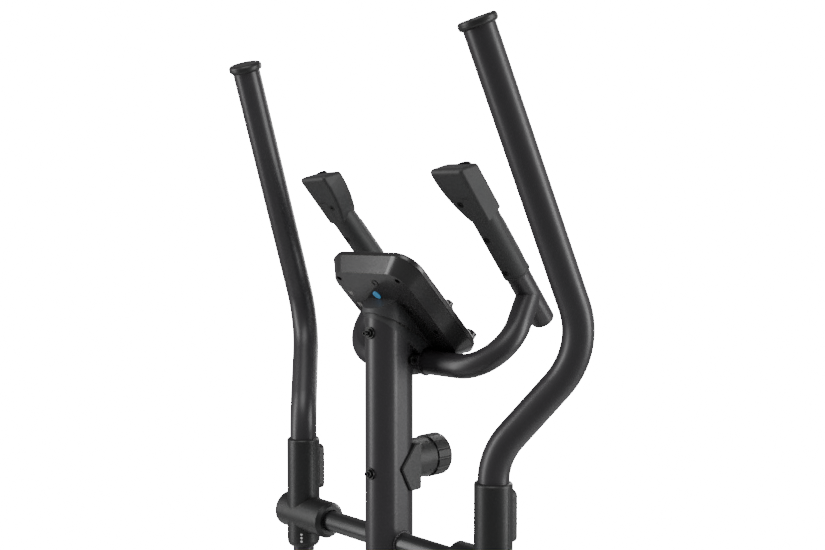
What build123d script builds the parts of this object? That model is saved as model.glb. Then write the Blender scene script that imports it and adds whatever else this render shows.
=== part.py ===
from build123d import *
from math import asin, atan2, cos, degrees, radians, sin, tan
import os

# Elliptical trainer.  Millimetres, +Z up, +X towards the user's left, +Y towards the user.
# The origin is on the floor at the centre of the footprint.

# Overall sizes
FRAME_LENGTH = 1150.0
FRAME_WIDTH = 600.0
PIVOT_HEIGHT = 950.0
MAST_SETBACK = 245.0
ARM_SPACING = 360.0

# Fits and gaps
RUNNING = 0.05
SLIP = 0.2
SHELL_GAP = 0.3
SIDE_GAP = 4.0

# Mast, swing axle and the parts round them
MAST_WIDTH = 50.0
MAST_DEPTH = 67.0
MAST_WALL = 2.5
MAST_FRONT_TOP = 292.0
MAST_TOP_SLOPE = 36.0
AXLE_D = 28.0
BOLT_D = 8.0
SPIGOT_DEPTH = 7.0
FRONT_BOLTS = (273.0, 92.0)
SIDE_BOLT = (17.0, 236.0)
COLLAR_HEIGHT = 70.0
COLLAR_WALL = 7.0

# Moving handles, heights above the pivot
HANDLE_D = 38.0
HANDLE_WALL = 2.5
HANDLE_FOOT = 22.0
HANDLE_LOW_BEND = 139.0
HANDLE_HIGH_BEND = (83.0, 73.0, 265.0)
HANDLE_TOP = (37.0, -68.0, 624.0)
HANDLE_BENDS = (80.0, 95.0)
CAP_RIM_D = 46.0
CAP_RIM_H = 11.0

# Lower swing arms and their hub covers
ARM_TUBE_D = 30.0
ARM_TUBE_WALL = 2.5
SLEEVE_D = 40.0
SLEEVE_WALL = 4.0
BUSH_LENGTH = 20.0
SLEEVE_INNER_END = 56.0
SLEEVE_OUTER_END = 32.0
COVER_D = 46.5
COVER_BRANCH_D = 50.0
COVER_TOP = 108.0
COVER_BOTTOM = 48.0
COVER_INNER_END = 62.0
COVER_OUTER_END = 36.0
COVER_PAD_PROUD = 4.0
COVER_PAD_HALF = 14.0
COVER_PAD_H = 64.0
COVER_END_WALL = 3.0

# Drive
CRANK_R = 130.0
CRANK_Y = 270.0
CRANK_Z = 320.0
CRANK_AXLE_D = 20.0
CRANK_PIN_D = 20.0
CRANK_ARM_T = 12.0
CRANK_SHELL_L = 40.0
CRANK_BEARING_R = 20.0
CRANK_BEARING_W = 12.0
CRANK_BOSS_R = 24.0
CRANK_PIN_BOSS_R = 20.0
PULLEY_WINDOWS = 5
PULLEY_R = 100.0
PULLEY_W = 14.0
SMALL_PULLEY_R = 20.0
BELT_T = 3.0
BELT_W = 10.0
BELT_X = -35.0
FLYWHEEL_R = 105.0
FLYWHEEL_W = 26.0
FLYWHEEL_Y = 95.0
FLYWHEEL_Z = 290.0
FLYWHEEL_AXLE_D = 12.0
FLYWHEEL_RIM = 22.0
FLYWHEEL_HUB_R = 18.0
FLYWHEEL_RECESS = 8.0
FLYWHEEL_CENTRE_X = 1.0
MAGNET_GAP = 9.0
MAGNET_T = 3.0
MAGNET_PIN_D = 8.0
MAGNET_W = 18.0
MAGNET_ANGLES = [(168.0, 182.0), (190.0, 204.0)]
CABLE_D = 5.0
CABLE_X = 9.0
CABLE_OFFSET_Y = 20.0
CABLE_BEND_R = 14.0

# Rails and pedals
RAIL_X = 135.0
RAIL_W = 30.0
RAIL_H = 40.0
RAIL_WALL = 2.0
HOUSING_D = 44.0
HOUSING_L = 46.0
PEDAL_X = 150.0
PEDAL_W = 130.0
PEDAL_START = 295.0
PEDAL_LENGTH = 305.0
PEDAL_FLOOR = 8.0
PEDAL_RIM_H = 40.0
PEDAL_RIM_T = 5.0
PEDAL_RIM_DROP = 22.0
PEDAL_RIM_SLOPE = 5.0
PAD_T = 5.0
PAD_GROOVES = 11

# Main frame and stabilisers
BEAM_W = 50.0
BEAM_H = 60.0
BEAM_WALL = 2.5
STAB_D = 50.0
STAB_WALL = 2.0
STAB_Z = 42.0
STAB_INSET = 35.0
SADDLE_T = 5.0
STUB_HEIGHT = 200.0
FOOT_LENGTH = 100.0
FOOT_INSET = 30.0
FOOT_SOCKET = 40.0
SADDLE_HALF = (60.0, 24.0)
SADDLE_BOLT_X = 45.0
FOOT_DEPTH = 70.0
FOOT_TOP = 78.0
LEVELLER_H = 12.0
LEVELLER_D = 44.0
WHEEL_D = 48.0
WHEEL_W = 20.0
WHEEL_AXLE_D = 8.0

# Shroud
SHROUD_HALF = 48.0
SHROUD_WALL = 2.5
SHROUD_ROUND = 12.0
SHROUD_CRANK_R = 150.0
SHROUD_CRANK_HOLE_R = 26.0
SCREW_R = 2.0
SHROUD_FLYWHEEL_R = 140.0

# Fixed handlebar and grips, places measured from the pivot
BAR_D = 32.0
BAR_WALL = 2.0
BAR_Y = 50.0
BAR_Z = 230.0
BAR_HALF = 151.0
BAR_LEG = (-22.5, 77.0, 91.0)
BAR_BENDS = (62.0, 62.0)
GRIP_BOTTOM = (127.3, 155.7, 289.2)
GRIP_TOP = (134.0, -10.1, 475.7)
GRIP_R = 17.8
GRIP_START = 84.0
GRIP_OVERHANG = 5.0
SCREW_HOLE_R = 4.5
SCREW_HOLE_DEPTH = 2.5
SCREW_HEAD_H = 1.2
PULSE_START = 98.0
PULSE_LENGTH = 62.0
PULSE_T = 0.8
HEAD_LENGTH = 74.0
HEAD_REACH = 35.0
HEAD_HALF_T = 16.0
HEAD_TOP_TILT = 26.0
HEAD_ROUND = 5.0
GRIP_SCREWS = [(0.0, 96.0), (0.0, 152.0), (12.0, 208.0)]

# Console, lying back at 45 degrees
CONSOLE_ORIGIN = (0.0, 10.4, 293.2)
CONSOLE_HALF_W = 79.5
CONSOLE_HALF_L = 92.0
CONSOLE_FLARE = 12.0
CONSOLE_BACK_T = 20.0
CONSOLE_FRONT_T = 8.0
CONSOLE_CORNER_R = 32.0
CONSOLE_WALL = 2.5
LEDGE_W = 136.0
LEDGE_H = 13.0
LEDGE_T = 16.0
LEDGE_SETBACK = 17.0
BUTTON_D = 12.0
BUTTON_STROKE = 1.5
BUTTON_DEPTH = 6.0
BUTTON_PROUD = 8.0
BUTTON_GAP = 0.4
BUTTON_FLOOR_GAP = 0.5
BUTTON = (68.5, 9.0)
SCREEN = (0.0, -14.0, 104.0, 72.0)
SCREEN_DEPTH = 3.0
LENS_T = 2.4
CONSOLE_HOLES = [(-55.0, -67.5), (55.0, -67.5), (-55.0, 28.0), (55.0, 28.0)]
BOSS_R = 6.0
BOSS_HOLE_R = 3.8
VENTS = [(-56.0, -38.0), (-56.0, -16.0)]
VENT_SIZE = (10.0, 9.0)
DOOR = (37.0, 22.0, 20.0, 88.0)
DOOR_T = 1.5
DOOR_CORNER_R = 4.0
PLUG = (-4.0, -39.0, 6.0)
NECK_WIDER = 3.0

# Brake-tension control on the back of the mast
KNOB_Z = 100.0
KNOB_BASE_D = 53.0
KNOB_BASE_END = 65.0
KNOB_D = 57.0
KNOB_L = 26.0
KNOB_RIBS = 14
KNOB_FLUTE_R = 2.4
KNOB_GAP = 0.6
SPINDLE_R = 4.0
EAR_OUTLINE = [(-4, -3), (21, 27), (32, 27), (32, -34), (12, -34)]

# Worked-out places
MAST_Y = MAST_SETBACK - FRAME_LENGTH / 2
FOOT_X = FRAME_WIDTH / 2 - FOOT_INSET
ARM_X = ARM_SPACING / 2
BEAM_BOTTOM = STAB_Z + STAB_D / 2 + SADDLE_T
BEAM_TOP = BEAM_BOTTOM + BEAM_H
STAB_Y = FRAME_LENGTH / 2 - STAB_INSET
JOINT_Z = CRANK_Z
RAIL_RUN = CRANK_Y - MAST_Y
RAIL_LENGTH = (RAIL_RUN**2 + CRANK_R**2) ** 0.5
RAIL_TILT = degrees(asin(CRANK_R / RAIL_LENGTH))
SIDES = {"left": 1, "right": -1}
STUB_BOLTS = (BEAM_TOP + 110.0, BEAM_TOP + 170.0)
MAGNET_PIVOT = (FLYWHEEL_Y - 120.0, BEAM_TOP + 28.0)
CABLE_EXIT_Y = MAGNET_PIVOT[0] - 30.0
CRANK_ARM_X = SHROUD_HALF + 14.0
PIN_END = RAIL_X + HOUSING_L / 2 + 2.0
SHROUD_SCREWS = [
    (CRANK_Y + 105.0, CRANK_Z - 20.0),
    (CRANK_Y + 25.0, CRANK_Z + 105.0),
    (FLYWHEEL_Y - 100.0, FLYWHEEL_Z + 10.0),
    (FLYWHEEL_Y - 40.0, FLYWHEEL_Z - 105.0),
    (CRANK_Y + 60.0, BEAM_TOP + 40.0),
]
RIM_CUT_ALIGN = (Align.CENTER, Align.MAX, Align.MIN)


def at(x, y, z):
    """A place given from the middle of the swing axle."""
    return Vector(x, MAST_Y + y, PIVOT_HEIGHT + z)


def rod(radius, start, end):
    """A round bar between two places."""
    return Solid.make_cylinder(radius, (end - start).length, Plane(start, z_dir=end - start))


def x_rod(radius, x0, x1, y, z):
    """A round bar lying across the machine."""
    low, high = sorted((x0, x1))
    return rod(radius, Vector(low, y, z), Vector(high, y, z))


def block(x, y, z):
    """A box from three (low, high) pairs."""
    size = [high - low for low, high in (x, y, z)]
    return Pos(x[0], y[0], z[0]) * Box(*size, align=Align.MIN)


def mirrored(side, low, high):
    """A pair of X places on the named side, in rising order."""
    return tuple(sorted((side * low, side * high)))


def bent_path(points, bends):
    """Straight runs joined by tangent arcs, one bend radius for each inner point."""
    edges, start = [], points[0]
    for before, corner, after, radius in zip(points, points[1:], points[2:], bends):
        arrive, leave = (corner - before).normalized(), (after - corner).normalized()
        setback = radius * tan(radians(arrive.get_angle(leave)) / 2)
        first, last = corner - arrive * setback, corner + leave * setback
        edges += [Line(start, first), TangentArc(first, last, tangent=arrive)]
        start = last
    return Wire(edges + [Line(start, points[-1])])


def bent_bar(points, radius, bends):
    """A solid round bar along straight runs and arcs."""
    section = Plane(points[0], z_dir=points[1] - points[0]) * Circle(radius)
    return sweep(section, path=bent_path(points, bends))


def bent_tube(points, outer, wall, bends):
    """A hollow round tube along straight runs and arcs."""
    return bent_bar(points, outer / 2, bends) - bent_bar(points, outer / 2 - wall, bends)


def obround(width, depth):
    """The mast's section: two half rounds joined by straight sides."""
    return SlotOverall(depth, width, rotation=90)


def mast_block(extra, z0, z1):
    """The mast's outline grown by extra, between two heights."""
    section = obround(MAST_WIDTH + 2 * extra, MAST_DEPTH + 2 * extra)
    return Pos(0, MAST_Y, z0) * extrude(section, z1 - z0)


def mast_top_plane(drop=0.0):
    """The slanting cut across the top of the mast."""
    front = at(0, -MAST_DEPTH / 2, MAST_FRONT_TOP)
    tilt = radians(MAST_TOP_SLOPE)
    normal = Vector(0, sin(tilt), cos(tilt))
    return Plane(front - normal * drop, x_dir=(1, 0, 0), z_dir=normal)


def side_profile(points, x0, x1):
    """A flat outline of (y, z) points, given from the pivot, made x0 to x1 thick."""
    places = [at(x0, y, z) for y, z in points]
    return extrude(make_face(Polyline(*places, close=True)), amount=x1 - x0, dir=(1, 0, 0))


# ---------------------------------------------------------------- frame


def saddle(y):
    """The plate that carries one end of the beam on its stabiliser."""
    half_x, half_y = SADDLE_HALF
    plate = block((-half_x, half_x), (y - half_y, y + half_y), (BEAM_BOTTOM - SADDLE_T, BEAM_BOTTOM))
    for x in (-SADDLE_BOLT_X, SADDLE_BOLT_X):
        plate -= rod(BOLT_D / 2, Vector(x, y, 0), Vector(x, y, BEAM_TOP))
    return plate


def crank_post():
    """The bearing shell of the crank on its post."""
    half = CRANK_SHELL_L / 2
    post = block((-15, 15), (CRANK_Y - 20, CRANK_Y + 20), (BEAM_TOP, CRANK_Z))
    shell = x_rod(CRANK_BEARING_R + 5, -half, half, CRANK_Y, CRANK_Z)
    return post + shell - x_rod(CRANK_BEARING_R, -half, half, CRANK_Y, CRANK_Z)


def flywheel_plates():
    """Two upright plates with the bearing holes of the flywheel axle."""
    plates = None
    for x0 in (-22.0, 18.0):
        plate = block((x0, x0 + 5), (FLYWHEEL_Y - 20, FLYWHEEL_Y + 20), (BEAM_TOP, FLYWHEEL_Z))
        plate += x_rod(20, x0, x0 + 5, FLYWHEEL_Y, FLYWHEEL_Z)
        plates = plate if plates is None else plates + plate
    return plates - x_rod(FLYWHEEL_AXLE_D / 2 + RUNNING, -60, 60, FLYWHEEL_Y, FLYWHEEL_Z)


def magnet_bracket():
    """Two ears and the pin that the magnet arm swings on."""
    y, z = MAGNET_PIVOT
    ears = x_rod(MAGNET_PIN_D / 2, -16, 18, y, z)
    for x0 in (-16.0, 14.0):
        ears += block((x0, x0 + 4), (y - 12, y + 12), (BEAM_TOP, z + 12))
    return ears


def main_frame():
    """Beam, mast stub, saddles and the brackets of the drive, all welded."""
    half = STAB_Y + 20
    hollow = BEAM_W / 2 - BEAM_WALL
    beam = block((-BEAM_W / 2, BEAM_W / 2), (-half, half), (BEAM_BOTTOM, BEAM_TOP))
    inside = half - BEAM_WALL
    beam -= block((-hollow, hollow), (-inside, inside), (BEAM_BOTTOM + BEAM_WALL, BEAM_TOP - BEAM_WALL))
    stub = mast_block(-MAST_WALL - SLIP, BEAM_TOP, BEAM_TOP + STUB_HEIGHT)
    stub -= mast_block(-MAST_WALL - SLIP - 3, BEAM_TOP, BEAM_TOP + STUB_HEIGHT)
    frame = beam + stub + saddle(-STAB_Y) + saddle(STAB_Y)
    frame += crank_post() + flywheel_plates() + magnet_bracket()
    for z in STUB_BOLTS:
        frame -= rod(BOLT_D / 2, Vector(0, MAST_Y - 60, z), Vector(0, MAST_Y + 60, z))
    for y in (MAST_Y + CABLE_OFFSET_Y, CABLE_EXIT_Y):
        frame -= rod(CABLE_D, Vector(CABLE_X, y, BEAM_TOP - 10), Vector(CABLE_X, y, BEAM_TOP + 5))
    return frame


def head_bolt_holes():
    """The holes in the mast's front and flanks for the bolts of its head."""
    bolt_y, bolt_z = SIDE_BOLT
    holes = rod(BOLT_D / 2, at(-MAST_WIDTH, bolt_y, bolt_z), at(MAST_WIDTH, bolt_y, bolt_z))
    for z in FRONT_BOLTS:
        holes += rod(BOLT_D / 2, at(0, -MAST_DEPTH, z), at(0, 0, z))
    return holes


def mast():
    """The obround mast with its slanting top and its holes."""
    top = PIVOT_HEIGHT + MAST_FRONT_TOP
    tube = mast_block(0, BEAM_TOP, top) - mast_block(-MAST_WALL, BEAM_TOP, top)
    tube = split(tube, bisect_by=mast_top_plane(), keep=Keep.BOTTOM)
    tube -= x_rod(AXLE_D / 2, -MAST_WIDTH, MAST_WIDTH, MAST_Y, PIVOT_HEIGHT)
    for z in STUB_BOLTS:
        tube -= rod(BOLT_D / 2, Vector(0, MAST_Y - 60, z), Vector(0, MAST_Y + 60, z))
    return tube - head_bolt_holes() - rod(CABLE_D, at(CABLE_X, 0, KNOB_Z), at(CABLE_X, MAST_DEPTH, KNOB_Z))


def mast_collar():
    """The plastic skirt that hides the foot of the mast."""
    skirt = mast_block(COLLAR_WALL, BEAM_TOP, BEAM_TOP + COLLAR_HEIGHT)
    skirt = fillet(skirt.edges().group_by(Axis.Z)[-1], 5)
    return skirt - mast_block(0, BEAM_TOP, BEAM_TOP + COLLAR_HEIGHT)


def stabiliser(y):
    """One cross tube, with the bolt holes of its saddle."""
    half = FRAME_WIDTH / 2 - FOOT_LENGTH + FOOT_SOCKET
    tube = x_rod(STAB_D / 2, -half, half, y, STAB_Z)
    tube -= x_rod(STAB_D / 2 - STAB_WALL, -half, half, y, STAB_Z)
    for x in (-SADDLE_BOLT_X, SADDLE_BOLT_X):
        tube -= rod(BOLT_D / 2, Vector(x, y, STAB_Z), Vector(x, y, BEAM_TOP))
    return tube


def foot_caps(facing, bottom):
    """The two moulded caps at the ends of a stabiliser; facing is -1 front, 1 rear."""
    caps = []
    outer_y = facing * FRAME_LENGTH / 2
    y_span = sorted((outer_y, outer_y - facing * FOOT_DEPTH))
    half = FRAME_WIDTH / 2
    tube_end = half - FOOT_LENGTH + FOOT_SOCKET
    for side in SIDES.values():
        cap = block(mirrored(side, half - FOOT_LENGTH, half), y_span, (bottom, FOOT_TOP))
        cap = fillet(cap.edges().filter_by(Axis.X).group_by(Axis.Z)[-1], 14)
        cap = fillet(cap.edges().filter_by(Axis.Z), 6)
        cap -= x_rod(STAB_D / 2, 0, side * tube_end, facing * STAB_Y, STAB_Z)
        caps.append(cap)
    return caps


def wheel_place(side):
    """The centre of a transport wheel."""
    y = -FRAME_LENGTH / 2 + WHEEL_D / 2 + 0.5
    return Vector(side * FOOT_X, y, WHEEL_D / 2 + 3)


def front_feet():
    """Front caps, each with a slot and an axle for its wheel."""
    caps = []
    for cap, side in zip(foot_caps(-1, 0), SIDES.values()):
        centre = wheel_place(side)
        gap = WHEEL_W / 2 + 1.5
        cap -= block(
            (centre.X - gap, centre.X + gap),
            (centre.Y - WHEEL_D, centre.Y + WHEEL_D / 2 + 2),
            (-1, centre.Z + WHEEL_D / 2 + 2),
        )
        cap += x_rod(WHEEL_AXLE_D / 2, centre.X - gap, centre.X + gap, centre.Y, centre.Z)
        caps.append(cap)
    return Compound(children=caps)


def rear_feet():
    """Rear caps, held off the floor by the levellers."""
    caps = []
    for cap, side in zip(foot_caps(1, LEVELLER_H), SIDES.values()):
        x, y = side * FOOT_X, STAB_Y
        caps.append(cap - rod(BOLT_D / 2, Vector(x, y, 0), Vector(x, y, LEVELLER_H + 16)))
    return Compound(children=caps)


def levelling_feet():
    """Round rubber pads on screws under the rear caps."""
    pads = []
    for side in SIDES.values():
        x = side * FOOT_X
        pad = rod(LEVELLER_D / 2, Vector(x, STAB_Y, 0), Vector(x, STAB_Y, LEVELLER_H))
        pad = chamfer(pad.edges(), 1.5)
        top = Vector(x, STAB_Y, LEVELLER_H + 16)
        pads.append(pad + rod(BOLT_D / 2, Vector(x, STAB_Y, LEVELLER_H - 2), top))
    return Compound(children=pads)


def transport_wheel(side):
    """A small solid wheel that rolls when the machine is tipped."""
    centre = wheel_place(side)
    half = WHEEL_W / 2
    wheel = x_rod(WHEEL_D / 2, centre.X - half, centre.X + half, centre.Y, centre.Z)
    wheel = fillet(wheel.edges(), 3)
    return wheel - x_rod(
        WHEEL_AXLE_D / 2 + RUNNING, centre.X - half, centre.X + half, centre.Y, centre.Z
    )


def frame_bolts():
    """Bolts of the saddles and of the mast's foot."""
    bolts = []
    for y in (-STAB_Y, STAB_Y):
        for x in (-SADDLE_BOLT_X, SADDLE_BOLT_X):
            shank = rod(BOLT_D / 2, Vector(x, y, STAB_Z + 15), Vector(x, y, BEAM_BOTTOM))
            bolts.append(shank + rod(7, Vector(x, y, BEAM_BOTTOM), Vector(x, y, BEAM_BOTTOM + 7)))
    for z in STUB_BOLTS:
        shank = rod(BOLT_D / 2, Vector(0, MAST_Y - 34, z), Vector(0, MAST_Y + 34, z))
        for facing in (-1, 1):
            face = MAST_Y + facing * (MAST_DEPTH / 2 - 2)
            head = rod(8, Vector(0, face, z), Vector(0, face + facing * 9, z))
            shank += head - mast_block(0, z - 20, z + 20)
        bolts.append(shank)
    return Compound(children=bolts)


# ---------------------------------------------------------------- drive


def crank_axle():
    """The crank's axle, through both bearings."""
    end = CRANK_ARM_X + CRANK_ARM_T
    return x_rod(CRANK_AXLE_D / 2, -end, end, CRANK_Y, CRANK_Z)


def pin_z(side):
    """The height of a crank pin: the left crank stands up, the right one hangs."""
    return CRANK_Z + side * CRANK_R


def crank_arm(side):
    """A flat crank with its pin, its spacer and its boss."""
    inner, outer = CRANK_ARM_X, CRANK_ARM_X + CRANK_ARM_T
    z = pin_z(side)
    x0, x1 = mirrored(side, inner, outer)
    arm = x_rod(CRANK_BOSS_R, x0, x1, CRANK_Y, CRANK_Z)
    arm += x_rod(CRANK_PIN_BOSS_R, x0, x1, CRANK_Y, z)
    outline = [(-23.5, 5 * side), (23.5, 5 * side), (19.5, side * CRANK_R), (-19.5, side * CRANK_R)]
    places = [Vector(x0, CRANK_Y + y, CRANK_Z + dz) for y, dz in outline]
    arm += extrude(make_face(Polyline(*places, close=True)), amount=x1 - x0, dir=(1, 0, 0))
    arm += x_rod(22, side * (SHROUD_HALF + 3), side * inner, CRANK_Y, CRANK_Z)
    arm += x_rod(CRANK_PIN_D / 2, side * inner, side * PIN_END, CRANK_Y, z)
    arm += x_rod(15, side * inner, side * (RAIL_X - HOUSING_L / 2 - 1), CRANK_Y, z)
    return arm - x_rod(CRANK_AXLE_D / 2, side * 10, side * outer, CRANK_Y, CRANK_Z)


def crank_nuts():
    """Caps on the axle and retaining bolts on the pins."""
    nuts = []
    for side in SIDES.values():
        face = side * (CRANK_ARM_X + CRANK_ARM_T)
        nut = x_rod(14, face, face + side * 5, CRANK_Y, CRANK_Z)
        nuts.append(fillet(nut.edges().sort_by(Axis.X)[-1 if side > 0 else 0], 2))
        washer = x_rod(16, side * PIN_END, side * (PIN_END + 3), CRANK_Y, pin_z(side))
        head = x_rod(9, side * (PIN_END + 3), side * (PIN_END + 9), CRANK_Y, pin_z(side))
        nuts.append(washer + head)
    return Compound(children=nuts)


def crank_bearings():
    """Two ring bearings in the crank's shell."""
    rings = []
    half = CRANK_SHELL_L / 2
    for x0, x1 in ((-half, CRANK_BEARING_W - half), (half - CRANK_BEARING_W, half)):
        ring = x_rod(CRANK_BEARING_R, x0, x1, CRANK_Y, CRANK_Z)
        rings.append(ring - x_rod(CRANK_AXLE_D / 2 + RUNNING, x0, x1, CRANK_Y, CRANK_Z))
    return Compound(children=rings)


def drive_pulley():
    """The large spoked pulley on the crank's axle."""
    x0, x1 = BELT_X - PULLEY_W / 2, BELT_X + PULLEY_W / 2
    wheel = x_rod(PULLEY_R, x0, x1, CRANK_Y, CRANK_Z)
    for start in (x0, x1 - 4):
        wheel -= x_rod(PULLEY_R - 12, start, start + 4, CRANK_Y, CRANK_Z)
    wheel += x_rod(20, x0, x1, CRANK_Y, CRANK_Z)
    for step in range(PULLEY_WINDOWS):
        angle = radians(360 / PULLEY_WINDOWS * step)
        y, z = CRANK_Y + 55 * cos(angle), CRANK_Z + 55 * sin(angle)
        wheel -= x_rod(20, x0, x1, y, z)
    return wheel - x_rod(CRANK_AXLE_D / 2, x0, x1, CRANK_Y, CRANK_Z)


def loop_face(growth):
    """The outline of the belt's run round both pulleys, grown outwards."""
    big, small = PULLEY_R + growth, SMALL_PULLEY_R + growth
    away = Vector(FLYWHEEL_Y - CRANK_Y, FLYWHEEL_Z - CRANK_Z)
    spread = degrees(asin((big - small) / away.length))
    heading = degrees(atan2(away.Y, away.X))
    corners = []
    for centre, radius in ((Vector(0, 0), big), (away, small)):
        for turn in (90 - spread, spread - 90):
            angle = radians(heading + turn)
            corners.append(centre + Vector(cos(angle), sin(angle)) * radius)
    order = [corners[0], corners[1], corners[3], corners[2]]
    face = make_face(Polyline(*order, close=True))
    return face + Circle(big) + Pos(away.X, away.Y) * Circle(small)


def drive_belt():
    """The closed belt, a hair off both pulleys."""
    ring = loop_face(SHELL_GAP + BELT_T) - loop_face(SHELL_GAP)
    belt_plane = Plane((BELT_X - BELT_W / 2, CRANK_Y, CRANK_Z), x_dir=(0, 1, 0), z_dir=(1, 0, 0))
    return extrude(belt_plane * ring, BELT_W)


def flywheel():
    """A heavy rimmed wheel with a thinner web."""
    x0, x1 = FLYWHEEL_CENTRE_X - FLYWHEEL_W / 2, FLYWHEEL_CENTRE_X + FLYWHEEL_W / 2
    wheel = x_rod(FLYWHEEL_R, x0, x1, FLYWHEEL_Y, FLYWHEEL_Z)
    for start in (x0, x1 - FLYWHEEL_RECESS):
        end = start + FLYWHEEL_RECESS
        cut = x_rod(FLYWHEEL_R - FLYWHEEL_RIM, start, end, FLYWHEEL_Y, FLYWHEEL_Z)
        wheel -= cut - x_rod(FLYWHEEL_HUB_R, start, end, FLYWHEEL_Y, FLYWHEEL_Z)
    return wheel - x_rod(FLYWHEEL_AXLE_D / 2, x0, x1, FLYWHEEL_Y, FLYWHEEL_Z)


def flywheel_axle():
    """The axle with the small pulley turned on its end."""
    axle = x_rod(FLYWHEEL_AXLE_D / 2, -44, 27, FLYWHEEL_Y, FLYWHEEL_Z)
    x0, x1 = BELT_X - PULLEY_W / 2, BELT_X + PULLEY_W / 2
    return axle + x_rod(SMALL_PULLEY_R, x0, x1, FLYWHEEL_Y, FLYWHEEL_Z)


def rim_sector(radius_in, radius_out, low, high):
    """A piece of ring round the flywheel, between two angles in degrees."""
    ring = Circle(radius_out) - Circle(radius_in)
    reach = radius_out * 3
    ends = [(reach * cos(radians(angle)), reach * sin(radians(angle))) for angle in (low, high)]
    wedge = make_face(Polyline((0, 0), *ends, close=True))
    start = (FLYWHEEL_CENTRE_X - MAGNET_W / 2, FLYWHEEL_Y, FLYWHEEL_Z)
    plane = Plane(start, x_dir=(0, 1, 0), z_dir=(1, 0, 0))
    return extrude(plane * (ring & wedge), MAGNET_W)


def magnet_arm():
    """The curved brake arm, with magnets facing the flywheel's rim."""
    y, z = MAGNET_PIVOT
    inner = FLYWHEEL_R + MAGNET_GAP + MAGNET_T
    x0, x1 = FLYWHEEL_CENTRE_X - MAGNET_W / 2, FLYWHEEL_CENTRE_X + MAGNET_W / 2
    arm = rim_sector(inner, inner + 9, 150, 216)
    for low, high in MAGNET_ANGLES:
        arm += rim_sector(inner - MAGNET_T, inner, low, high)
    foot = radians(212)
    low = (FLYWHEEL_Y + (inner + 5) * cos(foot), FLYWHEEL_Z + (inner + 5) * sin(foot))
    link = [(y - 7, z), (y + 7, z), (low[0] + 7, low[1]), (low[0] - 7, low[1])]
    places = [Vector(x0, link_y, link_z) for link_y, link_z in link]
    arm += extrude(make_face(Polyline(*places, close=True)), amount=MAGNET_W, dir=(1, 0, 0))
    arm += x_rod(9, x0, x1, y, z)
    return arm - x_rod(MAGNET_PIN_D / 2 + RUNNING, x0, x1, y, z)


def tension_cable():
    """The sheathed cable from the knob, down the mast and along the beam."""
    run_z = BEAM_TOP - 25
    y_down = MAST_Y + CABLE_OFFSET_Y
    points = [
        Vector(CABLE_X, y_down, PIVOT_HEIGHT + KNOB_Z),
        Vector(CABLE_X, y_down, run_z),
        Vector(CABLE_X, CABLE_EXIT_Y, run_z),
        Vector(CABLE_X, CABLE_EXIT_Y, MAGNET_PIVOT[1] + 20),
    ]
    return bent_bar(points, CABLE_D / 2, (CABLE_BEND_R, CABLE_BEND_R))


# ---------------------------------------------------------------- shroud


def shroud_face(inset):
    """The shroud's side outline, drawn in by inset."""
    crank = Pos(CRANK_Y, CRANK_Z) * Circle(SHROUD_CRANK_R - inset)
    nose = Pos(FLYWHEEL_Y, FLYWHEEL_Z) * Circle(SHROUD_FLYWHEEL_R - inset)
    low, high = CABLE_EXIT_Y - 20, CRANK_Y + SHROUD_CRANK_R - 25
    base = Pos((low + high) / 2, BEAM_TOP + 10) * Rectangle(high - low - 2 * inset, 20)
    return make_hull((crank + nose + base).edges())


def shroud_block(side, inset):
    """Half of the shroud's outer shape, or of its hollow when drawn in."""
    solid = extrude(Plane.YZ * shroud_face(inset), side * (SHROUD_HALF - inset))
    rim = solid.faces().sort_by(Axis.X)[-1 if side > 0 else 0].edges()
    return fillet(rim, SHROUD_ROUND - inset)


def shroud(side):
    """One half of the two-part cover over the drive."""
    shell = shroud_block(side, 0) - shroud_block(side, SHROUD_WALL)
    shell -= block((-80, 80), (-FRAME_LENGTH, FRAME_LENGTH), (0, BEAM_TOP + 0.5))
    shell -= x_rod(SHROUD_CRANK_HOLE_R, 0, side * SHROUD_HALF, CRANK_Y, CRANK_Z)
    for y, z in SHROUD_SCREWS:
        shell -= x_rod(SCREW_R, side * SHROUD_HALF / 2, side * SHROUD_HALF, y, z)
    return shell


def shroud_screws():
    """Pan-head screws through each half of the shroud."""
    screws = []
    for side in SIDES.values():
        for y, z in SHROUD_SCREWS:
            head = x_rod(4.5, side * SHROUD_HALF, side * (SHROUD_HALF + 2), y, z)
            screws.append(head + x_rod(SCREW_R, side * (SHROUD_HALF - 10), side * SHROUD_HALF, y, z))
    return Compound(children=screws)


# ---------------------------------------------------------------- rails and pedals


def on_rail(side, shape):
    """Puts a shape drawn along a level rail from its front joint onto the tilted rail."""
    return Pos(0, MAST_Y, JOINT_Z) * Rot(X=side * RAIL_TILT) * shape


def pedal_rail(side):
    """A box-section rail with a bearing housing at each end."""
    x = side * RAIL_X
    w, h = RAIL_W / 2, RAIL_H / 2
    bar = block((x - w, x + w), (0, RAIL_LENGTH), (-h, h))
    w, h = w - RAIL_WALL, h - RAIL_WALL
    bar -= block((x - w, x + w), (0, RAIL_LENGTH), (-h, h))
    half = HOUSING_L / 2
    for y in (0, RAIL_LENGTH):
        bar += x_rod(HOUSING_D / 2, x - half, x + half, y, 0)
    bar = fillet(bar.edges().filter_by(GeomType.CIRCLE), 1.5)
    for y in (0, RAIL_LENGTH):
        bar -= x_rod(CRANK_PIN_D / 2 + RUNNING, x - half, x + half, y, 0)
    return on_rail(side, bar)


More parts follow.
